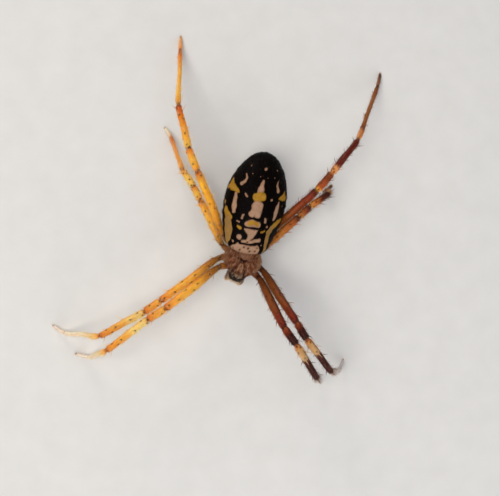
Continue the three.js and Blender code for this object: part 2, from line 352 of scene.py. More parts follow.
def mould(surface, rings, faces):
    """A ball drawn out into a form, with how far along and around each vertex lies."""
    shape = bmesh.new()
    bmesh.ops.create_uvsphere(shape, u_segments=faces, v_segments=rings, radius=1.0)
    ball = np.array([vert.co for vert in shape.verts], dtype=float)
    along = np.round(np.arccos(np.clip(ball[:, 2], -1, 1)) / math.pi * rings) / rings
    around = np.round(np.arctan2(ball[:, 1], ball[:, 0]) / math.tau * faces) / faces % 1.0
    for vert, place in zip(shape.verts, surface(along, around)):
        vert.co = place
    return shape, along, around


def add_piece(name, shape, material, nodes=(), stores=None):
    """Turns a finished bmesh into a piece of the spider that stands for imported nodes."""
    bmesh.ops.recalc_face_normals(shape, faces=shape.faces)
    mesh = bpy.data.meshes.new(name)
    shape.to_mesh(mesh)
    shape.free()
    mesh.shade_smooth()
    for label, values in (stores or {}).items():
        mesh.attributes.new(label, "FLOAT", "POINT").data.foreach_set("value", values)
    mesh.materials.append(material)
    piece = bpy.data.objects.new(name, mesh)
    bpy.context.collection.objects.link(piece)
    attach(piece, "root")
    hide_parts(*nodes)


# %% [markdown]
# ## Coats of hair
# Hair could be a particle system, but then it would be lost when the model leaves Blender.
# Here each hair is a thin solid: a few corners at the root, the same again halfway up, and
# a tip. Thousands of them share one mesh, which is filled from arrays because that takes a
# second where separate operators would take an hour. Each hair leans over the skin, and
# its outer half lies flatter than its root. Its patch of the OFBake map lies where its
# root lies on the skin rolled out flat.

# %% Drawing roots on a surface
NUDGE = 1e-3
TRIES = 6
NEVER_ZERO = 1e-12


def unit(vectors):
    """Each row, one long."""
    return vectors / np.maximum(np.linalg.norm(vectors, axis=1, keepdims=True), NEVER_ZERO)


def steps_at(surface, along, around):
    """Short steps down and across a surface, and the share of it that the step down spans."""
    inner, outer = np.clip(along - NUDGE, 0, 1), np.clip(along + NUDGE, 0, 1)
    down = surface(outer, around) - surface(inner, around)
    across = surface(along, (around + NUDGE) % 1.0) - surface(along, (around - NUDGE) % 1.0)
    return down, across, outer - inner


def roots_at(surface, along, around, down, across):
    """Roots at chosen places: where they are, what faces out there and what points down."""
    return {
        "along": along,
        "around": around,
        "place": surface(along, around),
        "outward": unit(np.cross(across, down)),
        "down": unit(down),
        "count": len(along),
    }


def draw_roots(surface, count, draw, weight=None, stretch=(0.0, 1.0)):
    """Random roots, spread evenly over a surface or thicker where weight is higher."""
    along = draw.uniform(*stretch, count * TRIES)
    around = draw.uniform(0.0, 1.0, count * TRIES)
    down, across, span = steps_at(surface, along, around)
    area = np.linalg.norm(np.cross(down, across), axis=1) / span
    if weight is not None:
        area = area * weight(along, around)
    picked = draw.choice(count * TRIES, size=count, replace=False, p=area / area.sum())
    return roots_at(surface, along[picked], around[picked], down[picked], across[picked])


# %% Growing one coat from its roots
HAIR_RINGS = ((0.0, 1.0), (0.5, 0.8))
OFF_AXIS = 1e-6


def grow(roots, flow, length, width, lean, droop=0.5, sides=3, flat=1.0, tone=0.5, **marks):
    """Hairs as arrays. Lengths and widths are millimetres, lean is degrees off the skin."""
    count = roots["count"]
    outward = roots["outward"]
    flow = unit(flow - outward * np.sum(flow * outward, axis=1, keepdims=True))
    angle = np.radians(np.broadcast_to(lean, count))[:, None]
    length = np.broadcast_to(length, count)[:, None] * MM
    width = np.broadcast_to(width, count)[:, None] * MM
    rising = flow * np.cos(angle) + outward * np.sin(angle)
    falling = flow * np.cos(angle * droop) + outward * np.sin(angle * droop)
    broad = unit(np.cross(rising, outward + OFF_AXIS))
    thin = np.cross(rising, broad)
    corners = []
    for height, swell in HAIR_RINGS:
        middle = roots["place"] + rising * length * height - outward * width * (0.5 - height)
        for turn in np.arange(sides) * math.tau / sides:
            edge = broad * np.cos(turn) + thin * np.sin(turn) * flat
            corners.append(middle + edge * width * swell / 2)
    corners.append(roots["place"] + rising * length * 0.5 + falling * length * 0.5)
    hairs = np.stack(corners, axis=1)
    hairs[..., 2] = np.maximum(hairs[..., 2], 0.0)
    stores = {"tone": np.broadcast_to(tone, count), "along": roots["along"], **marks}
    unwrap = np.stack([roots["around"], roots["along"]], axis=1)
    return {"hairs": hairs, "sides": sides, "unwrap": unwrap, "stores": stores}


def soft_coat(surface, count, draw, stray, lengths, widths, leans, **where):
    """Hairs that point down a surface, with their sizes drawn between two ends each."""
    roots = draw_roots(surface, count, draw, **where)
    return grow(
        roots, roots["down"] + draw.normal(0, stray, (count, 3)), draw.uniform(*lengths, count),
        draw.uniform(*widths, count), draw.uniform(*leans, count), tone=draw.uniform(0, 1, count),
    )


# %% Joining coats into one piece
PATCH = 0.003


def hair_faces(sides):
    """The corner numbers of one hair's faces, closed at the root."""
    ring = range(sides)
    walls = [(k, (k + 1) % sides, sides + (k + 1) % sides, sides + k) for k in ring]
    point = [(sides + k, sides + (k + 1) % sides, 2 * sides) for k in ring]
    return [tuple(reversed(ring))] + walls + point


def hair_unwrap(sides):
    """Where each corner of a hair lies in its patch of the map."""
    ring = np.arange(sides) / max(sides - 1, 1)
    low = np.stack([ring, np.zeros(sides)], 1)
    mid = np.stack([0.15 + 0.7 * ring, np.full(sides, 0.5)], 1)
    return (np.concatenate([low, mid, [[0.5, 1.0]]]) - 0.5) * PATCH


def add_coat(name, parts, material):
    """One piece made of every hair in the parts."""
    corners, loops, starts, patches, start = [], [], [], [], 0
    stores = {label: [] for label in parts[0]["stores"]}
    stores["tip"] = []
    for part in parts:
        hairs, sides = part["hairs"], part["sides"]
        count, size = hairs.shape[:2]
        faces = hair_faces(sides)
        flat_faces = np.array([corner for face in faces for corner in face])
        offsets = start + np.arange(count)[:, None] * size
        loops.append((offsets + flat_faces).ravel())
        starts.append(np.tile([len(face) for face in faces], count))
        unwrapped = part["unwrap"][:, None, :] * (1 - PATCH) + hair_unwrap(sides)[flat_faces]
        patches.append(unwrapped.reshape(-1, 2))
        corners.append(hairs.reshape(-1, 3))
        heights = np.repeat([height for height, _ in HAIR_RINGS], sides)
        stores["tip"].append(np.tile([*heights, 1.0], count))
        for label, values in part["stores"].items():
            stores[label].append(np.repeat(values, size))
        start += count * size
    corners, loops = np.concatenate(corners), np.concatenate(loops)
    sizes = np.concatenate(starts)
    mesh = bpy.data.meshes.new(name)
    mesh.vertices.add(len(corners))
    mesh.vertices.foreach_set("co", corners.ravel())
    mesh.loops.add(len(loops))
    mesh.loops.foreach_set("vertex_index", loops)
    mesh.polygons.add(len(sizes))
    mesh.polygons.foreach_set("loop_start", np.concatenate([[0], np.cumsum(sizes)[:-1]]))
    mesh.uv_layers.new(name="OFBake").data.foreach_set("uv", np.concatenate(patches).ravel())
    for label, values in stores.items():
        values = np.concatenate(values).astype(np.float32)
        mesh.attributes.new(label, "FLOAT", "POINT").data.foreach_set("value", values)
    mesh.update(calc_edges=True)
    mesh.validate()
    mesh.shade_smooth()
    mesh.materials.append(material)
    piece = bpy.data.objects.new(name, mesh)
    bpy.context.collection.objects.link(piece)
    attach(piece, "root")
    triangles = int((sizes - 2).sum())
    print(f"{name}: {sum(len(part['hairs']) for part in parts)} hairs, {triangles} triangles")


# %% [markdown]
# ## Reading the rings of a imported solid
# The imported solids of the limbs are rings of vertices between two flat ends, with one
# vertex in the middle of each end. Such a vertex is easy to find, because it lies exactly
# in the middle of its neighbours. Walking over the mesh from there, edge by edge, gives
# the rings back in order. Their middles are the limb's middle line, so a skin made on
# them lies inside its solid without any measuring.

# %% Walking a solid ring by ring
def rings_of(node, near):
    """The rings of a swept solid, as arrays of places, from the end nearest to a place."""
    shape = bmesh.new()
    shape.from_mesh(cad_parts[node].data)
    bmesh.ops.remove_doubles(shape, verts=shape.verts, dist=0.001 * MM)
    shape.verts.index_update()

    def off_middle(vert):
        around = [edge.other_vert(vert).co for edge in vert.link_edges]
        return (sum(around, Vector()) / len(around) - vert.co).length

    ends = sorted(shape.verts, key=off_middle)[:2]
    level = [min(ends, key=lambda vert: (vert.co - Vector(near)).length)]
    seen, rings = {level[0].index}, []
    while level:
        rings.append(np.array([vert.co for vert in level], dtype=float))
        reached = {}
        for vert in level:
            for edge in vert.link_edges:
                other = edge.other_vert(vert)
                if other.index not in seen:
                    seen.add(other.index)
                    reached[other.index] = other
        level = [reached[i] for i in sorted(reached)]
    shape.free()
    return rings


# %% [markdown]
# ## Sweeping an outline along a line
# A leg and a jaw differ only in their line and their outline. Both are swept in the same
# way: the line is sampled, each sample carries a sideways and an upward vector that don't
# twist, and a place on the skin is the line's place plus a radius in some direction
# between those two. At a share of 0 or 1 the radius is 0, which closes the two ends.

# %% Lines and what is swept round them
def run_of(places):
    """How far along a line each of its places lies."""
    return np.concatenate([[0], np.cumsum(np.linalg.norm(np.diff(places, axis=0), axis=1))])


def carried_frame(places):
    """A sideways and an upward vector at each place, carried along without twisting."""
    forward = unit(np.gradient(places, axis=0))
    upward = np.zeros_like(forward)
    guide = np.array([0.0, 0.0, 1.0])
    for i, direction in enumerate(forward):
        guide = guide - direction * (guide @ direction)
        guide = guide / np.linalg.norm(guide)
        upward[i] = guide
    return np.cross(forward, upward), upward


def sampled_line(places, count):
    """A smooth line through places: how far along, where, and two vectors at each sample."""
    run = run_of(places)
    samples = np.linspace(0, run[-1], count)
    middle = smooth_between(run, places, samples)
    return samples, middle, *carried_frame(middle)


def sweep(line, reached, turn, radius, flat=1.0):
    """Places at a radius in millimetres round a sampled line, at each length and turn."""
    samples, middle, across, upward = line

    def follow(rows):
        return np.stack([np.interp(reached, samples, column) for column in rows.T], axis=1)

    spoke = follow(upward) * (np.cos(turn) * flat)[:, None] + follow(across) * np.sin(turn)[:, None]
    return follow(middle) + spoke * (radius * MM)[:, None]


# %% [markdown]
# ## Legs: the middle line
# A spider's leg has seven parts. From the body out they are coxa, trochanter, femur,
# patella, tibia, metatarsus and tarsus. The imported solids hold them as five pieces, and
# their ring middles are strung together here into one line. A place on a leg is then one
# number from 0 to 6: 0 at the sternum, 1 at the hip, 2 and 3 at the two ends of the knee
# piece, 4 at the ankle, 5 where the tarsus starts and 6 at the claws.

# %% One line for each leg
LEG_PIECES = ("coxa", "femur", "patella", "tibia", "foot")
LEG_STRETCHES = 6
METATARSUS_SHARE = {1: 0.8, 2: 0.8, 3: 0.77, 4: 0.83}
LEAST_STEP = 0.12
LINE_SAMPLES = 600


def leg_line(side, pair):
    """Places down the middle of a leg, and how far along it its seven joints lie."""
    low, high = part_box("sternum")
    near = (low + high) / 2
    places, joints = [], [0]
    for piece in LEG_PIECES:
        middles = [ring.mean(axis=0) for ring in rings_of(f"leg_{pair}_{side}_{piece}", near)]
        if places:
            places[-1] = (places[-1] + middles[0]) / 2
            middles = middles[1:]
        for middle in middles:
            if not places or np.linalg.norm(middle - places[-1]) > LEAST_STEP * MM:
                places.append(middle)
        joints.append(len(places) - 1)
        near = places[-1]
    *upper, ankle, tip = run_of(places)[joints]
    instep = ankle + METATARSUS_SHARE[pair] * (tip - ankle)
    return np.array(places), np.array([*upper, ankle, instep, tip])


# %% [markdown]
# ## Legs: the outline
# Each stretch swells in its middle and is pinched at the joint, where soft membrane shows
# between two hard tubes. The pinch is deepest underneath, because that is where the leg
# folds. The outline below is a list of places along the leg and radii in millimetres.

# %% The outline and the surface of a leg
LEG_OUTLINE = [
    (0, 0.02), (0.04, 0.25), (0.3, 0.4), (0.62, 0.44), (0.86, 0.41), (0.97, 0.36), (1.0, 0.32),
    (1.012, 0.35), (1.03, 0.37), (1.048, 0.345), (1.07, 0.38), (1.16, 0.44), (1.35, 0.51),
    (1.65, 0.51), (1.9, 0.46), (1.975, 0.43), (2.0, 0.34), (2.06, 0.42), (2.3, 0.46), (2.75, 0.45),
    (2.94, 0.41), (3.0, 0.31), (3.03, 0.385), (3.2, 0.44), (3.6, 0.415), (3.9, 0.385),
    (3.975, 0.36), (4.0, 0.26), (4.03, 0.31), (4.3, 0.29), (4.7, 0.27), (4.97, 0.25),
    (5.0, 0.205), (5.09, 0.24), (5.5, 0.23), (5.8, 0.195), (5.94, 0.13), (6.0, 0.02),
]
STOUTNESS = {1: 1.0, 2: 1.0, 3: 0.9, 4: 0.96}
COAT_DEPTH = 0.02
CROWDING = 0.7
FOLD_DEPTH = 0.16
FOLD_WIDTH = 0.035
BARE_TIP = 5.8
USUAL_LENGTH = 27.0
GROUND = 0.01


def leg_place(along):
    """Turns a share of the ball's rings into a place from 0 to 6, crowded at the joints."""
    even = along * LEG_STRETCHES
    joint = np.minimum(np.floor(even), LEG_STRETCHES - 1)
    share = even - joint
    crowded = 0.5 - 0.5 * np.cos(math.pi * share)
    return joint + share + CROWDING * (crowded - share)


def leg_surface(side, pair):
    """The surface function of one leg."""
    places, joints = leg_line(side, pair)
    line = sampled_line(places, LINE_SAMPLES)
    knots, radii = np.array(LEG_OUTLINE).T

    def surface(along, around):
        place = leg_place(along)
        turn = around * math.tau
        coat = COAT_DEPTH * (place < BARE_TIP)
        radius = smooth_between(knots, radii, place) * STOUTNESS[pair] - coat
        nearest = np.abs(place - np.round(place)) * (joints[-1] / MM / USUAL_LENGTH)
        fold = FOLD_DEPTH * np.exp(-(nearest / FOLD_WIDTH) ** 2)
        radius = radius * (1 - fold * np.clip(-np.cos(turn), 0, 1))
        radius = np.maximum(radius, 0) * ((along > 0) & (along < 1))
        reached = np.interp(place, np.arange(LEG_STRETCHES + 1), joints)
        found = sweep(line, reached, turn, radius)
        found[:, 2] = np.maximum(found[:, 2], GROUND * MM)
        return found

    return surface


LEGS = [(side, pair) for side in SIDES for pair in STOUTNESS]
LEG_SURFACES = {leg: leg_surface(*leg) for leg in LEGS}
print("legs read:", len(LEG_SURFACES))

# %% [markdown]
# ## Legs: colour bands
# The legs on the spider's right side are painted bright amber, a painted glow of backlight with painted
# highlights. Those on its left are painted darker brown, as in shade. Both carry dark rings towards each
# joint. Near the body the bands darken, which is painted shadow where the legs pass under the body. The
# bands follow the leg, so the skin stores how far along it each vertex lies, and a colour ramp reads that.
# Each stop below is a place on the leg, from 0 at the sternum to 6 at the claws, and a colour. The coxae
# of one side are all alike, so their stops are written once.

# %% The bands of each kind of leg
# Amber stops: dark rings at the joints, bright bands as painted backlit glow and painted highlights, and
# painted shadow near the body.
AMBER_BACKLIT_COXA = [(0.0, "7A4420"), (0.9, "9A6020"), (1.0, "5E2A0C")]
AMBER_BACKLIT_FRONT = AMBER_BACKLIT_COXA + [
    (1.06, "8C581A"), (1.22, "B87824"), (1.42, "F4B43A"), (1.66, "FFC448"), (1.86, "FCB440"),
    (1.96, "EE9430"), (2.0, "8A2A08"), (2.04, "FABC50"), (2.3, "FAB84A"), (2.75, "F4A63E"),
    (2.94, "E28630"), (2.99, "7A2406"), (3.03, "F8C860"), (3.1, "FFE490"), (3.36, "FFDE84"),
    (3.5, "FCC054"), (3.74, "F6AC42"), (3.93, "EE9A36"), (3.985, "9A3208"), (4.03, "FCB854"),
    (4.12, "FCD084"), (4.4, "FCE4BC"), (4.98, "FBEBD4"), (5.0, "D8A070"), (5.06, "F8EADA"),
    (6.0, "F0E0D0"),
]
AMBER_BACKLIT_THIRD = AMBER_BACKLIT_COXA + [
    (1.08, "B87A28"), (1.3, "EAA838"), (1.6, "FFC43E"), (1.85, "FFB83A"), (1.97, "E0862C"),
    (2.0, "8A2A08"), (2.08, "FCBC44"), (2.5, "FFD254"), (2.9, "F6A43A"), (3.0, "8A2A08"),
    (3.06, "FFD668"), (3.5, "FFCC50"), (3.9, "FAAA38"), (4.0, "963208"), (4.1, "FCB858"),
    (4.7, "F4A050"), (4.98, "D0702C"), (5.06, "F8D4AC"), (5.8, "FBEEE0"), (6.0, "F4DCC4"),
]
AMBER_BACKLIT_FOURTH = AMBER_BACKLIT_COXA + [
    (1.08, "B87A26"), (1.3, "EAA02A"), (1.6, "FFBA30"), (1.84, "FFBE34"), (1.97, "E08020"),
    (2.0, "8A2A08"), (2.08, "FAAA2C"), (2.5, "FFC440"), (2.9, "F0922A"), (3.0, "7A2406"),
    (3.05, "FFCC4C"), (3.25, "FFB838"), (3.6, "F0921E"), (3.88, "D8661A"), (3.985, "7C2606"),
    (4.04, "F0A838"), (4.2, "FFC654"), (4.6, "F8B448"), (4.86, "EC8C30"), (4.99, "AC4A18"),
    (5.1, "F0A258"), (5.8, "F0B078"), (6.0, "D89460"),
]
# Brown stops: dark rings at the joints, with the legs painted darker as in shade, most of all near the
# body.
BROWN_SHADED_COXA = [(0.0, "6E3E20"), (0.9, "7A421C"), (1.0, "3E1608")]
BROWN_SHADED_FRONT = BROWN_SHADED_COXA + [
    (1.08, "7E441C"), (1.35, "8A4A1C"), (1.68, "8A4416"), (1.82, "862F12"), (1.97, "7E2612"),
    (2.0, "300C06"), (2.08, "A04A26"), (2.35, "702408"), (2.5, "400C04"), (2.94, "340903"),
    (3.0, "B05C2A"), (3.03, "D89048"), (3.09, "D2A468"), (3.34, "D8B07C"), (3.42, "561408"),
    (3.6, "3C0A04"), (3.96, "420C06"), (4.0, "1E0604"), (4.03, "BCA898"), (4.4, "D2C8C0"),
    (4.97, "D8D0CA"), (5.0, "7A6A60"), (5.06, "D6D0CC"), (6.0, "CCC4C0"),
]
BROWN_SHADED_THIRD = BROWN_SHADED_COXA + [
    (1.08, "BE7A38"), (1.5, "CC8230"), (1.85, "B85E1E"), (1.98, "4E180A"), (2.06, "D08A40"),
    (2.5, "9E4C1C"), (2.95, "4E140A"), (3.04, "E4A04E"), (3.35, "C06C24"), (3.6, "5E1A0C"),
    (3.97, "320C06"), (4.03, "C89460"), (4.5, "A8744A"), (4.97, "4E2010"), (5.06, "A07A5A"),
    (6.0, "4E3020"),
]
BROWN_SHADED_FOURTH = BROWN_SHADED_COXA + [
    (1.08, "B26C2C"), (1.4, "AE6224"), (1.7, "9C4216"), (1.9, "8E2E0E"), (1.985, "480F06"),
    (2.03, "FFB84C"), (2.1, "F0A03C"), (2.18, "BE5A1C"), (2.6, "90421A"), (2.86, "8A4018"),
    (2.99, "E89C56"), (3.12, "ECA868"), (3.2, "701C0A"), (3.5, "661808"), (3.97, "66180A"),
    (4.0, "260604"), (4.03, "DE9858"), (4.16, "C88048"), (4.21, "52180C"), (4.25, "96582A"),
    (4.7, "985E30"), (4.93, "844A24"), (4.99, "3E1008"), (5.06, "98684A"), (5.5, "7A5038"),
    (6.0, "3E1810"),
]
LEG_BANDS_AND_LIGHT = {
    ("right", 1): AMBER_BACKLIT_FRONT, ("right", 2): AMBER_BACKLIT_FRONT,
    ("right", 3): AMBER_BACKLIT_THIRD, ("right", 4): AMBER_BACKLIT_FOURTH,
    ("left", 1): BROWN_SHADED_FRONT, ("left", 2): BROWN_SHADED_FRONT,
    ("left", 3): BROWN_SHADED_THIRD, ("left", 4): BROWN_SHADED_FOURTH,
}

# %% [markdown]
# ## Legs: the skin's material
# Cuticle is slightly see-through, and an amber leg glows where light gets into it, so the
# shader has some subsurface scattering. The flank that faces the head is darker than the
# top: a reddish tint on the amber legs, and painted shade on the brown legs. Fine lengthwise mottling
# keeps the bands from looking printed.

# %% Skin of a leg
BAND_STRAY = 0.012
# Flank colour and share for each side, then subsurface glow: a reddish tint on the right legs, painted
# shade on the left legs.
SKIN_LOOKS_AND_FLANK_SHADE = {"right": ("F0A050", 0.4, 0.4), "left": ("74402A", 0.75, 0.12)}
# Pale colour and share of the leg hairs; the high share on the right legs is painted backlight.
COAT_PALENESS_AND_BACKLIGHT = {"right": ("FFE6B0", 0.7), "left": ("D0A888", 0.2)}


def leg_colour(tree, stops):
    """The bands of a leg, with their edges a little uneven."""
    uneven = reckon(tree, "MULTIPLY", reckon(tree, "SUBTRACT", speckle(tree, 0.35), 0.5), BAND_STRAY)
    place = reckon(tree, "ADD", stored(tree, "along"), uneven)
    return bands(tree, place, [(place / LEG_STRETCHES, code) for place, code in stops])


def leg_skin_material(name, stops, flank_tint_and_shade_code, flank_tint_and_shade_share, glow):
    """Banded cuticle for one leg, with a flank tint that is painted shade on the brown legs, streaked on
    top, dark round spines.
    """
    def skin_colour(tree):
        # Painted shade: the flank mask darkens the side that faces the head, most of all on the brown
        # legs.
        flank = step_up(tree, stored(tree, "flank"), 0.4, 1.0)
        flank_tint_and_shade = reckon(tree, "MULTIPLY", flank, flank_tint_and_shade_share)
        colour = blend(tree, flank_tint_and_shade, leg_colour(tree, stops), paint(flank_tint_and_shade_code), "MULTIPLY")
        crest = step_up(tree, stored(tree, "crest"), 0.75, 1.0)
        streak = reckon(tree, "MULTIPLY", crest, reckon(tree, "MULTIPLY", speckle(tree, 0.8), 0.5))
        colour = blend(tree, streak, colour, paint("D09A50"), "MULTIPLY")
        return blend(tree, reckon(tree, "MULTIPLY", stored(tree, "socket"), 0.95), colour, paint("4A1C08"))

    return cuticle_material(
        name, skin_colour, 0.45, 0.07, 0.012, 0.45, Roughness=0.4, Specular_IOR_Level=0.14,
        Subsurface_Weight=glow, Subsurface_Scale=0.5 * MM, Subsurface_Radius=(1.0, 0.45, 0.15),
        Coat_Weight=0.05, Coat_Roughness=0.3,
    )


def leg_coat_material(name, stops, pale_and_backlit_code, pale_and_backlit_share):
    """Hairs that start in the leg's own colour and pale towards their tips, much paler on the right legs
    as painted backlight.
    """
    def coat_colour(tree):
        tone = stored(tree, "tone")
        pale = reckon(tree, "MULTIPLY", step_up(tree, tone, 0.0, 1.0), pale_and_backlit_share)
        tipped = reckon(tree, "ADD", pale, reckon(tree, "MULTIPLY", stored(tree, "tip"), 0.12), clamp=True)
        colour = blend(tree, tipped, leg_colour(tree, stops), paint(pale_and_backlit_code))
        return blend(tree, step_up(tree, tone, -0.5, 0.0), paint("3A1206"), colour)

    return plain_material(name, coat_colour, Roughness=0.6, Specular_IOR_Level=0.06)


# %% [markdown]
# ## Legs: skins, hairs and spines
# Each leg gets one unbroken skin over its five solids. Then come three kinds of hair: a
# short coat that lies along the leg, a looser fringe that stands off it and shows against
# the light, painted pale as backlit hairs on the right legs, and stout spines. Each spine grows from a
# dark ring, and those rings are the dots that one sees along the thighs. The table gives, for each long
# stretch of a leg, how many spines stand on it and how short and how long they are.

# %% Where the spines stand
SPINES = {1: (16, 0.7, 1.1), 2: (4, 0.6, 0.8), 3: (12, 0.7, 1.1), 4: (8, 0.4, 0.62)}
SPINE_ROWS = (0.04, 0.9, 0.17, 0.76, 0.98, 0.3, 0.66)
SPINE_START = 0.7
SPINE_ROOM = 0.6
SPINE_STRAY = 0.15
ROW_STRAY = 0.025
SPINE_SEED = 90


def spine_roots(surface, draw):
    """Roots of the spines, in loose rows along the four long stretches of a leg."""
    along, around, lengths = [], [], []
    for joint, (count, short, long) in SPINES.items():
        for number in range(count):
            stray = draw.uniform(-SPINE_STRAY, SPINE_STRAY)
            along.append((joint + (number + SPINE_START + stray) / (count + SPINE_ROOM)) / LEG_STRETCHES)
            row = SPINE_ROWS[number % len(SPINE_ROWS)]
            around.append((row + draw.uniform(-ROW_STRAY, ROW_STRAY)) % 1.0)
            lengths.append(draw.uniform(short, long))
    along, around = np.array(along), np.array(around)
    down, across, _ = steps_at(surface, along, around)
    return roots_at(surface, along, around, down, across), np.array(lengths)


LEG_SPINES = {
    leg: spine_roots(LEG_SURFACES[leg], np.random.default_rng(SPINE_SEED + number))
    for number, leg in enumerate(LEGS)
}
print("spines on each leg:", LEG_SPINES["right", 1][0]["count"])

# %% Skins of the legs
LEG_RINGS = 252
LEG_FACES = 32
SOCKET_WIDTH = 0.14
FLANK_END = 4.2
FOOT_START = 3.96

for side, pair in LEGS:
    shape, along, around = mould(LEG_SURFACES[side, pair], LEG_RINGS, LEG_FACES)
    turn, place = around * math.tau, leg_place(along)
    vertices = np.array([vert.co for vert in shape.verts])
    spines, _ = LEG_SPINES[side, pair]
    gaps = np.linalg.norm(vertices[:, None] - spines["place"][None], axis=2).min(axis=1)
    stores = {
        "along": place / LEG_STRETCHES,
        "crest": np.cos(turn),
        # The flank value places the flank tint, which is painted shade on the brown legs.
        "flank": np.sin(turn) * -SIDES[side] * np.clip(FLANK_END - place, 0, 1),
        "socket": np.exp(-(gaps / (SOCKET_WIDTH * MM)) ** 4) * (place < FOOT_START),
    }
    name = f"leg_{pair}_{side}_skin"
    material = leg_skin_material(name, LEG_BANDS_AND_LIGHT[side, pair], *SKIN_LOOKS_AND_FLANK_SHADE[side])
    nodes = [f"leg_{pair}_{side}_{piece}" for piece in LEG_PIECES]
    add_piece(name, shape, material, nodes, stores)
print("leg skins:", len(LEGS))

# %% Coats of the legs
COVERED_END = 0.45
STRETCH_ENDS = [0, 1, 3, 4, 5, 6]
LYING = {
    "count": 2600, "stray": 0.12, "reach": [0.2, 0.32, 0.3, 0.25, 0.2, 0.14], "spread": (0.8, 1.2),
    "widths": (0.016, 0.028), "leans": (8, 24), "droop": 0.5, "tones": (0, 0.45),
}
STANDING = {
    "count": 900, "stray": 0.2, "reach": [0.3, 0.5, 0.5, 0.45, 0.34, 0.22], "spread": (0.7, 1.3),
    "widths": (0.02, 0.034), "leans": (32, 62), "droop": 0.7, "tones": (0.6, 1.0),
}
SPINE_WIDTH = 0.09
SPINE_LEANS = (35, 58)
COLLAR_HEIGHT = 0.07
COLLAR_WIDTH = 0.17
COLLAR_LEAN = 88
DARK_COLLAR, PALE_COLLAR = -0.5, 0.3
LEG_COAT_SEED = 100


def clear_of_body(along, around):
    """No hairs where a leg dives under the body."""
    return np.clip((along * LEG_STRETCHES - COVERED_END) * 3, 0, 1)


def leg_hairs(surface, draw, count, stray, reach, spread, widths, leans, droop, tones):
    """One kind of hair on a leg. Its along counts stretches of the leg, as the skin's does."""
    roots = draw_roots(surface, count, draw, clear_of_body)
    roots["along"] = leg_place(roots["along"]) / LEG_STRETCHES
    length = np.interp(roots["along"] * LEG_STRETCHES, STRETCH_ENDS, reach)
    return grow(
        roots, roots["down"] + draw.normal(0, stray, (count, 3)), length * draw.uniform(*spread, count),
        draw.uniform(*widths, count), draw.uniform(*leans, count), droop, tone=draw.uniform(*tones, count),
    )


for number, (side, pair) in enumerate(LEGS):
    draw = np.random.default_rng(LEG_COAT_SEED + number)
    parts = [leg_hairs(LEG_SURFACES[side, pair], draw, **kind) for kind in (LYING, STANDING)]
    spines, lengths = LEG_SPINES[side, pair]
    spines["along"] = leg_place(spines["along"]) / LEG_STRETCHES
    lean = draw.uniform(*SPINE_LEANS, spines["count"])
    parts.append(grow(spines, spines["down"], lengths, SPINE_WIDTH, lean, 0.8, 6))
    tone = np.where(spines["along"] * LEG_STRETCHES < FOOT_START, DARK_COLLAR, PALE_COLLAR)
    parts.append(grow(spines, spines["down"], COLLAR_HEIGHT, COLLAR_WIDTH, COLLAR_LEAN, 1.0, 6, tone=tone))
    name = f"leg_{pair}_{side}_coat"
    material = leg_coat_material(name, LEG_BANDS_AND_LIGHT[side, pair], *COAT_PALENESS_AND_BACKLIGHT[side])
    add_coat(name, parts, material)

# %% [markdown]
# ## Abdomen: the shape
# The abdomen is one soft oval bag. Its solid is a stack of upright ovals, so the four
# numbers of each oval can be read back: how far along it stands, how wide it is, and the
# heights of its top and its underside. A smooth curve through them gives the skin, a
# little inside the solid to leave room for the coat. Small dimples on the back show where
# muscles are tied to the skin, and the flanks are faintly creased.

# %% Reading the ovals, and lumps for living surfaces
LEAST_RING_GAP = 0.02
WAVES = 14


def ovals_of(node, half_turn):
    """Place along y, half width, top and bottom of each upright ring, in millimetres."""
    corners = np.array([vert.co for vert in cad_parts[node].data.vertices], dtype=float)
    corners = straightened(corners, half_turn)
    corners = corners[np.argsort(corners[:, 1])]
    breaks = np.flatnonzero(np.diff(corners[:, 1]) > LEAST_RING_GAP) + 1
    rings = np.split(corners, breaks)
    return np.array([
        (ring[:, 1].mean(), np.abs(ring[:, 0]).max(), ring[:, 2].max(), ring[:, 2].min())
        for ring in rings
    ])


def lumps(places, size, seed):
    """Smooth random swelling between about -1 and 1, with lumps of a size."""
    draw = np.random.default_rng(seed)
    total = np.zeros(len(places))
    for _ in range(WAVES):
        direction = unit(draw.normal(0, 1, (1, places.shape[1])))[0]
        rate = math.pi / size * draw.uniform(0.6, 1.3)
        total += np.sin(places @ direction * rate + draw.uniform(0, math.tau))
    return total / math.sqrt(WAVES)


def section_at(sections, along):
    """The numbers of a row of cross sections, smooth between them, at shares of the row."""
    steps = np.arange(len(sections))
    return smooth_between(steps, sections, along * steps[-1]).T


ABDOMEN_OVALS = ovals_of("abdomen", ABDOMEN_TURN)
ABDOMEN_COAT = 0.05
DIMPLES = [(0.85, 6.9), (1.0, 4.75), (0.95, 2.95)]
DIMPLE_DEPTH = 0.07
DIMPLE_WIDTH = 0.16
CREASE_DEPTH = 0.03
CREASE_SIZE = 0.8
CREASE_STRETCH = np.array([0.45, 1.6])
CREASE_SEED = 3


def abdomen_chart(along, around):
    """The abdomen's skin laid flat: millimetres across from the back's middle, and along."""
    y, half, _, _ = section_at(ABDOMEN_OVALS, along)
    turn = (around + 0.5) % 1.0 - 0.5
    return np.stack([turn * math.tau * half, y], axis=1)


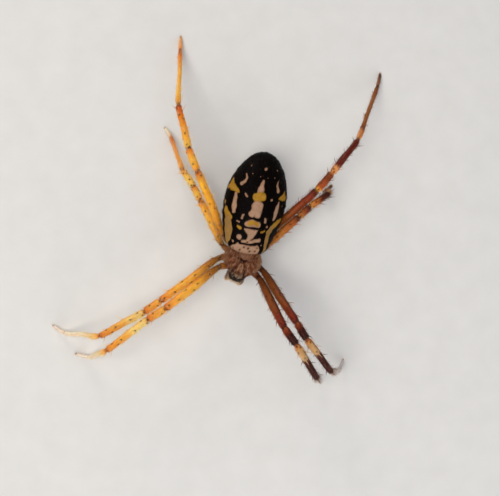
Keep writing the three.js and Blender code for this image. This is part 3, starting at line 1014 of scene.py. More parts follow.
def abdomen_surface(along, around):
    """The surface function of the abdomen."""
    y, half, top, bottom = section_at(ABDOMEN_OVALS, along)
    chart = abdomen_chart(along, around)
    turn = around * math.tau
    spoke = np.stack([np.sin(turn), np.zeros_like(turn), np.cos(turn)], axis=1)
    flank = np.sin(turn) ** 2
    swell = CREASE_DEPTH * flank * lumps(chart * CREASE_STRETCH, CREASE_SIZE, CREASE_SEED)
    for across, ahead in DIMPLES:
        for out in SIDES.values():
            near = np.hypot(chart[:, 0] - out * across, chart[:, 1] - ahead) / DIMPLE_WIDTH
            swell = swell - DIMPLE_DEPTH * np.exp(-near ** 2)
    room = np.minimum(ABDOMEN_COAT - swell, half)
    wide = np.maximum(half - room, 0)
    tall = np.maximum((top - bottom) / 2 - room, 0) * (half > 0)
    middle = np.stack([np.zeros_like(y), y, (top + bottom) / 2], axis=1)
    return placed(middle + spoke * np.stack([wide, wide, tall], axis=1), ABDOMEN_TURN)


# %% [markdown]
# ## Abdomen: the markings
# Pale and yellow guanine shows through clear patches of black-brown skin. The patches
# follow a plan that is nearly the same on both sides: a chain down the middle, a row of
# bars and spots beside it, and a long stripe along each flank. Each patch is written as
# a string of circles on the flattened skin: millimetres out from the middle, millimetres
# back from the waist, and a radius. In the chain down the middle, plus is the left side.
# How deep a place lies in a patch is stored in the skin, and the material turns that into
# a crisp edge.

# %% The patches
WHITE, STRAW, OCHRE = 0.0, 0.5, 1.0
MIDDLE_PATCHES = [
    (WHITE, [(0.07, 7.98, 0.14), (0.0, 7.5, 0.26), (-0.04, 6.98, 0.4), (-0.04, 6.5, 0.42)]),
    (OCHRE, [(-0.33, 5.82, 0.54), (0.0, 5.92, 0.6), (0.32, 6.02, 0.55)]),
    (WHITE, [(-0.1, 5.15, 0.4), (-0.26, 4.9, 0.42), (-0.24, 4.25, 0.42), (-0.42, 3.72, 0.43)]),
    (WHITE, [(0.27, 4.98, 0.4), (0.3, 4.2, 0.43), (0.27, 3.72, 0.42)]),
    (WHITE, [(-0.7, 2.42, 0.37), (-0.1, 2.6, 0.44), (0.66, 2.6, 0.37)]),
    (OCHRE, [(-0.52, 2.52, 0.2), (-0.02, 2.7, 0.27), (0.58, 2.64, 0.2)]),
    (WHITE, [(-0.86, 1.74, 0.1), (-0.2, 1.52, 0.4)]),
    (WHITE, [(0.78, 1.86, 0.1), (0.22, 1.46, 0.46), (0.1, 1.0, 0.42), (-0.12, 0.62, 0.27),
             (-0.1, 0.3, 0.2)]),
    (WHITE, [(-0.72, 0.25, 0.17), (-0.4, 0.28, 0.2), (0.0, 0.26, 0.2), (0.46, 0.42, 0.2),
             (1.05, 0.7, 0.24), (1.36, 0.8, 0.25)]),
    (WHITE, [(-2.2, -0.95, 0.4), (-1.5, -0.72, 0.42), (-1.24, -0.24, 0.24)]),
    (WHITE, [(-1.2, -0.6, 0.42), (-0.7, -0.6, 0.44), (0.4, -0.54, 0.44), (1.3, -0.14, 0.36),
             (1.5, -0.5, 0.44)]),
    (WHITE, [(-2.3, -1.15, 0.5), (0.0, -1.1, 0.5), (1.65, -1.0, 0.46)]),
    (WHITE, [(0.06, 9.49, 0.2)]),
    (WHITE, [(-0.41, 8.43, 0.07)]),
    (WHITE, [(0.49, 8.46, 0.07)]),
]
RIGHT_PATCHES = [
    (WHITE, [(2.3, 8.36, 0.12), (2.12, 7.88, 0.15), (2.28, 7.4, 0.2), (2.72, 7.05, 0.23)]),
    (OCHRE, [(4.6, 7.45, 0.24), (4.5, 6.85, 0.6), (4.2, 6.55, 0.52), (3.4, 6.3, 0.36),
             (2.8, 6.02, 0.16)]),
    (OCHRE, [(5.4, 6.5, 0.3), (4.6, 6.7, 0.45)]),
    (WHITE, [(3.2, 5.65, 0.28), (3.08, 4.85, 0.34), (3.02, 4.15, 0.42), (2.87, 3.62, 0.3)]),
    (WHITE, [(1.84, 5.92, 0.12), (1.5, 5.65, 0.13)]),
    (STRAW, [(5.22, 4.5, 0.3)]),
    (OCHRE, [(4.6, 3.66, 0.45), (4.2, 3.2, 0.5), (3.7, 2.95, 0.46), (3.2, 2.74, 0.32)]),
    (STRAW, [(3.75, 2.4, 0.62), (3.45, 1.85, 0.72), (3.25, 1.15, 0.8), (3.1, 0.4, 0.62),
             (3.3, -0.2, 0.36)]),
    (WHITE, [(1.44, 3.36, 0.14), (1.54, 2.96, 0.16)]),
    (WHITE, [(2.08, 2.5, 0.1), (1.78, 2.44, 0.13)]),
    (OCHRE, [(1.83, 1.85, 0.16), (1.42, 1.72, 0.2)]),
    (WHITE, [(1.27, 0.63, 0.37)]),
    (WHITE, [(2.0, 0.01, 0.18)]),
    (WHITE, [(1.86, 9.5, 0.1)]),
    (WHITE, [(1.47, 8.56, 0.07)]),
]
LEFT_PATCHES = [
    (WHITE, [(2.08, 8.42, 0.09), (2.08, 7.75, 0.16), (2.38, 7.22, 0.25)]),
    (OCHRE, [(3.82, 7.5, 0.12), (3.8, 6.9, 0.42), (3.6, 6.65, 0.42), (2.75, 6.4, 0.14)]),
    (OCHRE, [(4.25, 6.65, 0.34), (3.8, 6.8, 0.4)]),
    (WHITE, [(2.92, 5.95, 0.12), (2.78, 5.35, 0.28), (2.84, 4.8, 0.34), (2.8, 4.25, 0.34),
             (2.72, 3.75, 0.24)]),
    (WHITE, [(1.6, 5.93, 0.2)]),
    (WHITE, [(3.79, 5.59, 0.1)]),
    (OCHRE, [(4.4, 3.9, 0.3), (3.6, 3.4, 0.4), (3.05, 2.9, 0.36)]),
    (STRAW, [(2.75, 2.6, 0.34), (2.48, 1.95, 0.36), (2.5, 1.15, 0.36), (2.74, 0.4, 0.36),
             (3.0, -0.25, 0.36)]),
    (WHITE, [(1.41, 3.52, 0.14), (1.5, 3.14, 0.16)]),
    (WHITE, [(1.91, 2.65, 0.16)]),
    (OCHRE, [(1.34, 1.84, 0.12), (1.76, 2.06, 0.12)]),
    (WHITE, [(1.89, 0.28, 0.1)]),
    (WHITE, [(1.7, 9.73, 0.09)]),
    (WHITE, [(1.44, 8.73, 0.07)]),
]
BOTH_SIDES = [
    (WHITE, [(6.7, 7.2, 0.16), (6.9, 6.5, 0.3)]), (STRAW, [(6.6, 5.6, 0.22), (6.1, 4.9, 0.34)]),
    (WHITE, [(6.9, 4.2, 0.2), (6.5, 3.5, 0.3), (6.0, 3.1, 0.2)]),
    (STRAW, [(5.9, 2.2, 0.26), (5.3, 1.5, 0.32)]),
    (WHITE, [(5.0, 0.5, 0.26), (4.6, 0.0, 0.2)]), (WHITE, [(5.2, 8.6, 0.2), (5.5, 8.1, 0.26)]),
    (STRAW, [(9.3, 6.3, 0.14), (9.5, 5.2, 0.3), (9.3, 3.9, 0.34), (8.5, 2.4, 0.3), (7.4, 1.3, 0.22)]),
    (WHITE, [(8.0, 5.4, 0.16)]), (WHITE, [(7.8, 4.4, 0.13)]),
]
DARK_SLITS = [
    [(-0.98, 0.0, 0.06), (-0.41, -0.08, 0.07)],
    [(0.37, -0.06, 0.08), (1.0, 0.12, 0.07), (1.47, 0.42, 0.06)],
]
DARK_SPECKS = [
    (-1.84, -0.81), (-0.74, -0.8), (-0.32, -0.44), (0.25, -0.44), (1.36, -0.15), (0.54, -0.76),
    (1.27, -0.6), (-0.08, 0.23),
]
SPECK = 0.075
FAR_OFF = -1.0
JUST_OUTSIDE = -0.02
EDGE_DRIFT = 0.035
DRIFT_SIZE = 0.45
DRIFT_SEEDS = (11, 12)


def string_depth(chart, points):
    """How deep each place lies inside a string of circles; negative outside it."""
    points = np.array(points)
    best = np.full(len(chart), -np.inf)
    for first, second in zip(points, points[1:] if len(points) > 1 else points):
        link = second[:2] - first[:2]
        share = np.clip((chart - first[:2]) @ link / max(link @ link, 1e-9), 0, 1)
        gap = np.linalg.norm(chart - first[:2] - share[:, None] * link, axis=1)
        best = np.maximum(best, first[2] + share * (second[2] - first[2]) - gap)
    return best


def abdomen_marks(along, around):
    """How deep a place lies in a pale patch, in millimetres, and how yellow the patch is."""
    chart = abdomen_chart(along, around)
    drift = np.stack([lumps(chart, DRIFT_SIZE, seed) for seed in DRIFT_SEEDS], axis=1)
    chart = chart + EDGE_DRIFT * drift
    pale = np.full(len(chart), FAR_OFF)
    yellow = np.zeros(len(chart))
    plans = [(1, MIDDLE_PATCHES), (-1, RIGHT_PATCHES + BOTH_SIDES), (1, LEFT_PATCHES + BOTH_SIDES)]
    for out, patches in plans:
        turned = chart * np.array([out, 1])
        for warmth, points in patches:
            depth = string_depth(turned, points)
            deeper = depth > pale if warmth == WHITE else depth > np.minimum(pale, JUST_OUTSIDE)
            yellow = np.where(deeper, warmth, yellow)
            pale = np.maximum(pale, depth)
    dark = DARK_SLITS + [[(across, ahead, SPECK)] for across, ahead in DARK_SPECKS]
    for points in dark:
        pale = np.minimum(pale, -string_depth(chart, points))
    return np.clip(pale, FAR_OFF, 1), yellow


# %% [markdown]
# ## Abdomen: the skin and its finish
# The skin carries two stored values: how deep a place lies in a patch, and how yellow
# that patch is. The patches look grainy, because guanine lies in small crystals, and their
# white, straw and ochre are painted darker, as in shade. The black between them is a warm brown-black with
# a low gloss.

# %% Skin of the abdomen
PATCH_SOFTNESS = 0.035
CRUMBLE = 0.09
ABDOMEN_RINGS = 220
ABDOMEN_FACES = 288


def shaded_marked_colour(tree):
    """Black-brown, with the stored patches in white, straw and ochre, all darkened as painted shade."""
    crumbs = reckon(tree, "MULTIPLY", reckon(tree, "SUBTRACT", speckle(tree, 0.16), 0.5), CRUMBLE)
    depth = reckon(tree, "ADD", stored(tree, "pale"), crumbs)
    inside = step_up(tree, depth, -PATCH_SOFTNESS, PATCH_SOFTNESS)
    heart = step_up(tree, depth, 0.0, 0.2)
    # Painted shade: the patch colours are darkened, as in shade.
    white = blend(tree, heart, paint("8C6850"), paint("AE896E"))
    ochre = blend(tree, heart, paint("8E6820"), paint("AC7E2B"))
    warm = stored(tree, "yellow")
    patch = blend(tree, step_up(tree, warm, WHITE, STRAW), white, paint("98733F"))
    patch = blend(tree, step_up(tree, warm, STRAW, OCHRE), patch, ochre)
    night = blend(tree, speckle(tree, 1.3), paint("030101"), paint("0A0402"))
    return blend(tree, inside, night, patch)


material = cuticle_material(
    "abdomen_skin", shaded_marked_colour, 0.5, 0.06, 0.015, 0.4, Roughness=0.5, Specular_IOR_Level=0.04,
    Subsurface_Weight=0.06, Subsurface_Scale=0.3 * MM,
)
shape, along, around = mould(abdomen_surface, ABDOMEN_RINGS, ABDOMEN_FACES)
pale, yellow = abdomen_marks(along, around)
stores = {"pale": pale, "yellow": yellow}
add_piece("abdomen_skin", shape, material, ["abdomen"], stores)
print("abdomen skin:", len(along), "vertices,", round(100 * float((pale > 0).mean())), "% patches")

# %% [markdown]
# ## Abdomen: the coat
# The hairs on the abdomen are short and far apart. They lie back towards the tip, and
# each has the colour of the skin that it grows from, so the markings run on into them.

# %% Coat of the abdomen
ABDOMEN_HAIRS = 11000
ABDOMEN_SEED = 41


def abdomen_hair_colour(tree):
    """The markings again, with a silvery hair here and there."""
    silver = reckon(tree, "MULTIPLY", step_up(tree, stored(tree, "tone"), 0.85, 1.0), 0.25)
    return blend(tree, silver, shaded_marked_colour(tree), paint("8C7462"))


draw = np.random.default_rng(ABDOMEN_SEED)
roots = draw_roots(abdomen_surface, ABDOMEN_HAIRS, draw)
pale, yellow = abdomen_marks(roots["along"], roots["around"])
flow = np.tile([0.0, 1.0, 0.0], (ABDOMEN_HAIRS, 1)) + draw.normal(0, 0.25, (ABDOMEN_HAIRS, 3))
tone = draw.uniform(0, 1, ABDOMEN_HAIRS)
hairs = grow(
    roots, flow, draw.uniform(0.16, 0.34, ABDOMEN_HAIRS), draw.uniform(0.014, 0.024, ABDOMEN_HAIRS),
    draw.uniform(8, 34, ABDOMEN_HAIRS), tone=tone, pale=pale, yellow=yellow,
)
material = plain_material("abdomen_coat", abdomen_hair_colour, Roughness=0.7, Specular_IOR_Level=0.03)
add_coat("abdomen_coat", [hairs], material)

# %% [markdown]
# ## Carapace: the shape
# The head and chest of a spider share one shield, the carapace. It is a low dome with a
# narrower head in front. A pit in its middle marks where the sucking stomach's muscles
# are tied, two grooves run from there to the sides of the head, and fainter ones fan out
# towards the legs. The dome is described by a few cross sections: millimetres back from
# the waist, half width, and how high the crown rises above the rim. A groove is a bent
# line, how deep it is and how wide.

# %% The dome and its grooves
RIM_HEIGHT = 4.9
RIM_DROP = 0.24
CARAPACE_COAT = 0.06
LEAST_CROWN = 0.05
CARAPACE_SECTIONS = [
    (-4.7, 0, 0.3), (-4.64, 0.6, 0.64), (-4.43, 0.86, 0.96), (-4.05, 0.96, 1.15),
    (-3.5, 1.36, 1.22), (-2.85, 2.08, 1.18), (-2.0, 2.42, 1.06), (-1.1, 2.28, 0.86),
    (-0.35, 1.7, 0.56), (0.1, 0.95, 0.28), (0.2, 0, 0.12),
]
PIT = [(0.42, -1.82, 0.08), (0.12, -2.0, 0.15), (0.0, -2.16, 0.16)]
PIT_DEPTH = 0.16
PIT_EDGE = 0.1
DARKEST_DEPTH = 0.11
GROOVES = [
    ([(0.1, -2.15), (0.4, -2.55), (0.6, -3.05)], 0.08, 0.1),
    ([(0.6, -3.05), (0.82, -3.5), (0.88, -3.95)], 0.1, 0.2),
    ([(0.4, -2.1), (0.9, -2.6), (1.7, -2.95)], 0.05, 0.12),
    ([(0.4, -1.95), (1.0, -1.8), (2.0, -1.95)], 0.045, 0.12),
    ([(0.4, -1.8), (0.9, -1.3), (1.6, -0.95)], 0.045, 0.12),
]
PALE_LINES = [
    ([(0.06, -2.34), (0.19, -2.7), (0.25, -3.3)], 1.0),
    ([(0.42, -1.98), (0.72, -2.45), (0.98, -2.95)], 0.7),
    ([(0.72, -2.3), (0.78, -2.0), (1.04, -1.88), (1.3, -2.05), (1.38, -2.36)], 0.45),
]
LINE_WIDTH = 0.075
NAPE = (0.85, -1.35, 0.42)


def nearness(chart, points, width):
    """1 on a bent line, fading out over a width to either side of it."""
    gap = string_depth(chart, [(x, y, 0.0) for x, y in points])
    return np.exp(-(gap / width) ** 2)


def carapace_marks(chart):
    """Depth of the grooves, how dark they are, pale lines, and the pale nape."""
    mirrored = np.stack([np.abs(chart[:, 0]), chart[:, 1]], axis=1)
    pit = np.clip(string_depth(mirrored, PIT) / PIT_EDGE + 1, 0, 1)
    depth, dark, pale = PIT_DEPTH * pit, pit, np.zeros(len(chart))
    for points, deep, width in GROOVES:
        near = nearness(mirrored, points, width)
        depth = np.maximum(depth, deep * near)
        dark = np.maximum(dark, near * deep / DARKEST_DEPTH)
    for points, strength in PALE_LINES:
        pale = np.maximum(pale, strength * nearness(mirrored, points, LINE_WIDTH))
    reach, middle, length = NAPE
    nape = np.exp(-(mirrored[:, 0] / reach) ** 4 - ((chart[:, 1] - middle) / length) ** 4)
    return depth, dark, pale, nape


def carapace_surface(along, around):
    """The surface function of the carapace, crown up."""
    y, half, crown = section_at(CARAPACE_SECTIONS, along)
    turn = around * math.tau
    x = (half - np.minimum(CARAPACE_COAT, half)) * np.sin(turn)
    upper = np.clip(np.cos(turn), 0, 1)
    lower = np.clip(-np.cos(turn), 0, 1)
    groove = carapace_marks(np.stack([x, y], axis=1))[0]
    rise = np.maximum(crown - CARAPACE_COAT, LEAST_CROWN) * upper - groove * np.sqrt(upper)
    height = RIM_HEIGHT + rise - RIM_DROP * np.sqrt(lower) * np.minimum(half, 1)
    return placed(np.stack([x, y, height], axis=1), HEAD_TURN)


# %% [markdown]
# ## Carapace: skin and down
# The carapace is warm brown under a thin felt of paler hairs that all point to the head.
# Along the grooves the felt is missing and the skin is darkest. Fine pale lines run
# beside them. The margin is tan, and paler on the left side as a painted highlight of backlit hairs; low
# on the flanks the hairs are longer, and three small pale tufts stand behind the eyes. Round the four
# middle eyes the skin is black.

# %% Colours of the carapace
def carapace_colour(tree, ground_code, nape_code, margin_and_backlight_code, line_code):
    """Brown, pinker on the nape, darker on the head, and tan along the margin with a painted backlit
    highlight.
    """
    layers = {
        "head": (0.75, "523420"), "rim": (0.85, margin_and_backlight_code),
        "line": (0.9, line_code), "groove": (0.95, "2E0E05"),
    }
    patchy = step_up(tree, speckle(tree, 0.5), 0.35, 0.65)
    base = blend(tree, reckon(tree, "MULTIPLY", patchy, 0.5), paint(ground_code), paint(nape_code))
    base = blend(tree, stored(tree, "nape"), base, paint(nape_code))
    for label, (share, code) in layers.items():
        base = blend(tree, reckon(tree, "MULTIPLY", stored(tree, label), share), base, paint(code))
    return blend(tree, stored(tree, "brow"), base, paint("080302"))


# %% Where the carapace is pale, dark or low
EYES = [
    f"eye_{place}_{side}"
    for place in ("front_middle", "rear_middle", "front_side", "rear_side")
    for side in SIDES
]
EYE_BOXES = {eye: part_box(eye) for eye in EYES}
EYE_MIDDLES = np.array([(low + high) / 2 for low, high in EYE_BOXES.values()])
EYE_SIZES = np.array([(high.z - low.z) / 2 for low, high in EYE_BOXES.values()])
BROW_FADES = np.repeat([0.09, 0.035], 4) * MM
BROW_REACH = 3.6
LOW_FADE = 0.62
HEAD_START, HEAD_FADE = -3.2, 0.4
MARGIN_START, MARGIN_FADE = 0.66, 0.3
MARGIN_FRONT, FRONT_FADE = -3.1, 0.6
LEAST_HALF = 0.3
# Painted highlight: the margin's paleness is full on the left side and half on the right, as if backlit.
MARGIN_BACKLIGHT_SHARES = {"right": 0.5, "left": 1.0}


def carapace_margin_and_backlight(local):
    """How near a place lies to the carapace's margin, strongest on the left side as a painted backlit
    highlight.
    """
    ahead, halves = np.array(CARAPACE_SECTIONS).T[:2]
    outward = np.abs(local[:, 0]) / np.maximum(np.interp(local[:, 1], ahead, halves), LEAST_HALF)
    beside = np.clip((outward - MARGIN_START) / MARGIN_FADE, 0, 1)
    beside = beside * np.clip((local[:, 1] - MARGIN_FRONT) / FRONT_FADE, 0, 1)
    return beside * np.where(local[:, 0] > 0, MARGIN_BACKLIGHT_SHARES["left"], MARGIN_BACKLIGHT_SHARES["right"])


def carapace_stores(places):
    """What the carapace's materials read at each place."""
    local = straightened(places, HEAD_TURN)
    _, groove, line, nape = carapace_marks(local[:, :2])
    gaps = np.linalg.norm(places[:, None] - EYE_MIDDLES[None], axis=2) - EYE_SIZES
    return {
        "groove": groove,
        "line": line,
        "nape": nape,
        "low": 1 - np.clip((local[:, 2] - RIM_HEIGHT) / LOW_FADE, 0, 1),
        # The rim value is the tan margin with its painted backlit highlight.
        "rim": carapace_margin_and_backlight(local),
        "head": np.clip((HEAD_START - local[:, 1]) / HEAD_FADE, 0, 1),
        "brow": np.clip(BROW_REACH - (gaps / BROW_FADES).min(axis=1), 0, 1),
    }


# %% Skin of the carapace
CARAPACE_RINGS = 150
CARAPACE_FACES = 144


def carapace_skin_colour(tree):
    """The bare cuticle, which is the redder of the two."""
    return carapace_colour(tree, "6C3014", "A06C4E", "B07E54", "C09270")


material = cuticle_material(
    "carapace_skin", carapace_skin_colour, 0.4, 0.06, 0.015, Roughness=0.6, Specular_IOR_Level=0.06,
)
shape, along, around = mould(carapace_surface, CARAPACE_RINGS, CARAPACE_FACES)
bmesh.ops.smooth_vert(
    shape, verts=shape.verts, factor=0.5, use_axis_x=True, use_axis_y=True, use_axis_z=True,
)
vertices = np.array([vert.co for vert in shape.verts])
add_piece("carapace_skin", shape, material, ["carapace"], carapace_stores(vertices))
print("carapace skin:", len(vertices), "vertices")

# %% Down of the carapace
CARAPACE_HAIRS = 14000
CARAPACE_SEED = 51
WISP_STRETCH = np.array([1.0, 0.3])
WISP_SIZE = 0.13
WISP_SEED = 52
BALD_LENGTH = 0.04
FACE_START = -4.1


def crown_only(along, around):
    """More hairs on the crown and over the rim than underneath."""
    return 0.12 + np.clip(np.cos(around * math.tau) + 0.25, 0, 1)


draw = np.random.default_rng(CARAPACE_SEED)
roots = draw_roots(carapace_surface, CARAPACE_HAIRS, draw, crown_only)
stores = carapace_stores(roots["place"])
bald = (stores["brow"] > 0.3) | (draw.uniform(0, 1, CARAPACE_HAIRS) < 0.8 * stores["groove"])
local = straightened(roots["place"], HEAD_TURN)
flow = local * np.array([0.22, 0, 0]) + np.array([0, -1.0, 0])
flow = flow + draw.normal(0, 0.22, (CARAPACE_HAIRS, 3))
wisps = 0.4 + 0.36 * lumps(local[:, :2] * WISP_STRETCH, WISP_SIZE, WISP_SEED)
wisps = wisps + draw.uniform(-0.2, 0.2, CARAPACE_HAIRS)
length = draw.uniform(0.14, 0.26, CARAPACE_HAIRS) + 0.18 * stores["low"]
length = np.where(bald, BALD_LENGTH, length) * np.where(local[:, 1] < FACE_START, 0.6, 1.0)
down = grow(
    roots, flow, length, draw.uniform(0.02, 0.034, CARAPACE_HAIRS),
    draw.uniform(8, 22, CARAPACE_HAIRS) + 16 * stores["low"],
    flat=0.5, tone=wisps, **stores,
)

# %% Three tufts behind the eyes
TUFTS = [(-0.44, -4.02), (0.0, -4.06), (0.44, -4.02)]
TUFT_HAIRS = 45
TUFT_ROOTS = 4000


def carapace_hair_colour(tree):
    """The felt and the tufts, paler from wisp to wisp."""
    base = carapace_colour(tree, "803E1A", "AA7A5E", "C69870", "CCA27E")
    return blend(tree, step_up(tree, stored(tree, "tone"), 0.35, 1.3), base, paint("D2B496"))


crown = draw_roots(carapace_surface, TUFT_ROOTS, draw, crown_only)
local = straightened(crown["place"], HEAD_TURN)
parts = [down]
for across, ahead in TUFTS:
    gaps = np.hypot(local[:, 0] - across, local[:, 1] - ahead) - 0.2 * (local[:, 2] - RIM_HEIGHT)
    near = np.argsort(gaps)[:TUFT_HAIRS]
    tuft = {key: value[near] for key, value in crown.items() if key != "count"}
    tuft["count"] = TUFT_HAIRS
    flow = np.array([0, -1.0, 0.1]) + draw.normal(0, 0.3, (TUFT_HAIRS, 3))
    marks = {key: np.zeros(TUFT_HAIRS) for key in stores}
    parts.append(grow(
        tuft, flow, draw.uniform(0.12, 0.2, TUFT_HAIRS), draw.uniform(0.018, 0.03, TUFT_HAIRS),
        draw.uniform(35, 65, TUFT_HAIRS), flat=0.6, tone=draw.uniform(1.2, 1.5, TUFT_HAIRS), **marks,
    ))

material = plain_material("carapace_coat", carapace_hair_colour, Roughness=0.65, Specular_IOR_Level=0.04)
add_coat("carapace_coat", parts, material)

# %% [markdown]
# ## Eyes
# An orb weaver has eight small eyes in two rows. They are clear domes over black cups, so
# they look like polished jet. Each is a ball at its true size and place, sunk a little in
# the head, with a raised black ring round it.

# %% The eyes and their rings
HEAD_MIDDLE = placed([(0.0, -3.8, 5.15)], HEAD_TURN)[0]
EYE_FACES, EYE_RINGS = 28, 18
EYE_SWELL = 1.02
RING_FACES = 10
RING_THICKNESS = 0.2
RING_RADIUS = 0.98
RING_HEIGHT = 0.3


def jet_colour(tree):
    """Black with a breath of brown."""
    return blend(tree, speckle(tree, 0.12), paint("050304"), paint("24120A"))


def ring_shape(size):
    """A thick ring round an eye that looks up, made by spinning a small circle."""
    shape = bmesh.new()
    ring = bmesh.ops.create_circle(shape, segments=RING_FACES, radius=size * RING_THICKNESS)
    out = Matrix.Translation((size * RING_RADIUS, 0, size * RING_HEIGHT))
    bmesh.ops.transform(shape, matrix=out @ Matrix.Rotation(math.pi / 2, 4, "X"), verts=ring["verts"])
    bmesh.ops.spin(
        shape, geom=shape.verts[:] + shape.edges[:], cent=(0, 0, 0), axis=(0, 0, 1),
        angle=math.tau, steps=EYE_FACES, use_merge=True,
    )
    bmesh.ops.remove_doubles(shape, verts=shape.verts, dist=1e-7)
    return shape


lens_material = plain_material(
    "eye_jet", jet_colour, Roughness=0.08, Specular_IOR_Level=0.35, Coat_Weight=0.1,
)
ring_material = cuticle_material(
    "eye_ring", lambda tree: paint("0A0503"), 0.2, 0.04, 0.004, Roughness=0.5, Specular_IOR_Level=0.05,
)
for eye, middle, size in zip(EYES, EYE_MIDDLES, EYE_SIZES):
    outward = Vector(middle - HEAD_MIDDLE).normalized()
    stand = Matrix.Translation(Vector(middle)) @ outward.to_track_quat("Z", "Y").to_matrix().to_4x4()
    shape = bmesh.new()
    bmesh.ops.create_uvsphere(shape, u_segments=EYE_FACES, v_segments=EYE_RINGS, radius=size * EYE_SWELL)
    shape.transform(stand)
    add_piece(f"{eye}_lens", shape, lens_material, [eye])
    shape = ring_shape(size)
    shape.transform(stand)
    add_piece(f"{eye}_rim", shape, ring_material)
print("eyes:", len(EYES))

# %% [markdown]
# ## Small tubes
# Jaws, feelers, claws and spinnerets are all tubes along a short bent line. One helper
# makes the surface function of such a tube from its line and its outline, and another
# turns that into a piece. A tube's radius is given at shares of its length.

# %% A small tube and its piece
TUBE_SAMPLES = 160


def tube_surface(places, outline, flat=1.0):
    """The surface function of a tube along a smooth line, with radii in millimetres."""
    line = sampled_line(places, TUBE_SAMPLES)
    knots, radii = np.array(outline).T

    def surface(along, around):
        radius = np.maximum(smooth_between(knots, radii, along), 0) * ((along > 0) & (along < 1))
        return sweep(line, along * line[0][-1], around * math.tau, radius, flat)

    return surface


def line_of(node, near):
    """The middle line of a small swept solid, from the end nearest to a place."""
    middles = [ring.mean(axis=0) for ring in rings_of(node, near)]
    kept = middles[:1]
    for middle in middles[1:]:
        if np.linalg.norm(middle - kept[-1]) > LEAST_STEP * MM:
            kept.append(middle)
    return np.array(kept)


def add_tube(name, surface, grid, material, slot_name, nodes=(), **even):
    """A tube as a piece, which stores how far along each vertex lies, or an even value."""
    shape, along, _ = mould(surface, *grid)
    stores = {label: np.full(len(along), value) for label, value in even.items()}
    add_piece(name, shape, material, nodes, {"along": along, **stores})


def on_side(local, out):
    """A place on the head, given for the left side, in the shared frame."""
    return placed([(out * local[0], *local[1:])], HEAD_TURN)[0]


# %% [markdown]
# ## Jaws
# Each jaw, or chelicera, is a stout upright tube that hangs from the front of the head,
# with a curved fang folded inwards at its foot. The tube is reddish brown and glossy,
# with a paler band near the top and bristles all round.

# %% Colours of the face
def jaw_colour(tree):
    """Pale at the top and red-brown below."""
    band = step_up(tree, stored(tree, "along"), 0.12, 0.5)
    return blend(tree, band, paint("EACBA0"), paint("6A3218"))


def face_hair_colour(tree):
    """Cream hairs with tan roots."""
    cream = blend(tree, stored(tree, "tone"), paint("DCC09A"), paint("F4E6CE"))
    return blend(tree, stored(tree, "tip"), paint("B08A60"), cream)


jaw_material = cuticle_material(
    "jaw_skin", jaw_colour, 0.3, 0.05, 0.008, Roughness=0.3, Coat_Weight=0.15, Coat_Roughness=0.15,
)
horn_material = cuticle_material(
    "fang_horn", lambda tree: paint("1C0A06"), 0.2, 0.03, 0.002, 0.3, Roughness=0.12,
    Coat_Weight=0.6, Coat_Roughness=0.05,
)
face_hair_material = plain_material(
    "face_hair", face_hair_colour, Roughness=0.55, Specular_IOR_Level=0.2,
)

# %% Jaws and fangs
JAW_TOP = (0.35, -4.34, 4.8)
JAW_OUTLINE = [
    (0, 0.05), (0.03, 0.25), (0.3, 0.3), (0.7, 0.28), (0.92, 0.2), (0.98, 0.12), (1, 0.05),
]
JAW_GRID = (48, 32)
JAW_HAIRS = 1500
JAW_SEED = 60
FANG_BEND = [(-0.02, -0.08, 0.12), (0.02, -0.12, -0.12), (-0.12, -0.06, -0.3), (-0.3, 0.04, -0.38)]
FANG_OUTLINE = [(0, 0.02), (0.08, 0.12), (0.3, 0.1), (0.7, 0.055), (0.97, 0.015), (1, 0.005)]
FANG_GRID = (28, 16)

for side, out in SIDES.items():
    line = line_of(f"chelicera_{side}", on_side(JAW_TOP, out))
    surface = tube_surface(line, JAW_OUTLINE)
    add_tube(f"jaw_{side}", surface, JAW_GRID, jaw_material, "jaw", [f"chelicera_{side}"])
    bend = line[-1] + np.array([(out * x, y, z) for x, y, z in FANG_BEND]) * MM
    add_tube(f"fang_{side}", tube_surface(bend, FANG_OUTLINE), FANG_GRID, horn_material, "jaw")
    draw = np.random.default_rng(JAW_SEED + out)
    hairs = soft_coat(
        surface, JAW_HAIRS, draw, 0.2, (0.14, 0.3), (0.016, 0.028), (15, 45), stretch=(0.0, 0.9),
    )
    add_coat(f"jaw_coat_{side}", [hairs], face_hair_material)

# %% [markdown]
# ## Feelers
# Beside the jaws hang the palps, which look like a pair of short legs. They are pale and
# densely haired, and a spider tastes and feels with them. Their joints are pinched in the
# same way as those of the legs.

# %% Palps
PALP_ROOT = (0.93, -3.7, 4.2)
PALP_OUTLINE = [
    (0, 0.03), (0.03, 0.17), (0.12, 0.21), (0.3, 0.23), (0.44, 0.21), (0.47, 0.15), (0.5, 0.2),
    (0.57, 0.21), (0.61, 0.15), (0.64, 0.2), (0.74, 0.22), (0.78, 0.15), (0.81, 0.21),
    (0.9, 0.21), (0.97, 0.13), (1, 0.02),
]
PALP_STOPS = [
    (0.0, "5A3018"), (0.3, "6E4426"), (0.45, "9A6C40"), (0.48, "7A4220"), (0.52, "DAB480"),
    (0.8, "E8CCA4"), (1.0, "D0A478"),
]
PALP_GRID = (96, 24)
PALP_HAIRS = 1800
PALP_SEED = 70


def palp_colour(tree):
    """Brown at the root and pale from the knee on."""
    return bands(tree, stored(tree, "along"), PALP_STOPS)


def palp_hair_colour(tree):
    """The palp's own colours, some hairs paler than others."""
    pale = reckon(tree, "MULTIPLY", stored(tree, "tone"), 0.5)
    return blend(tree, pale, palp_colour(tree), paint("F4E6CE"))


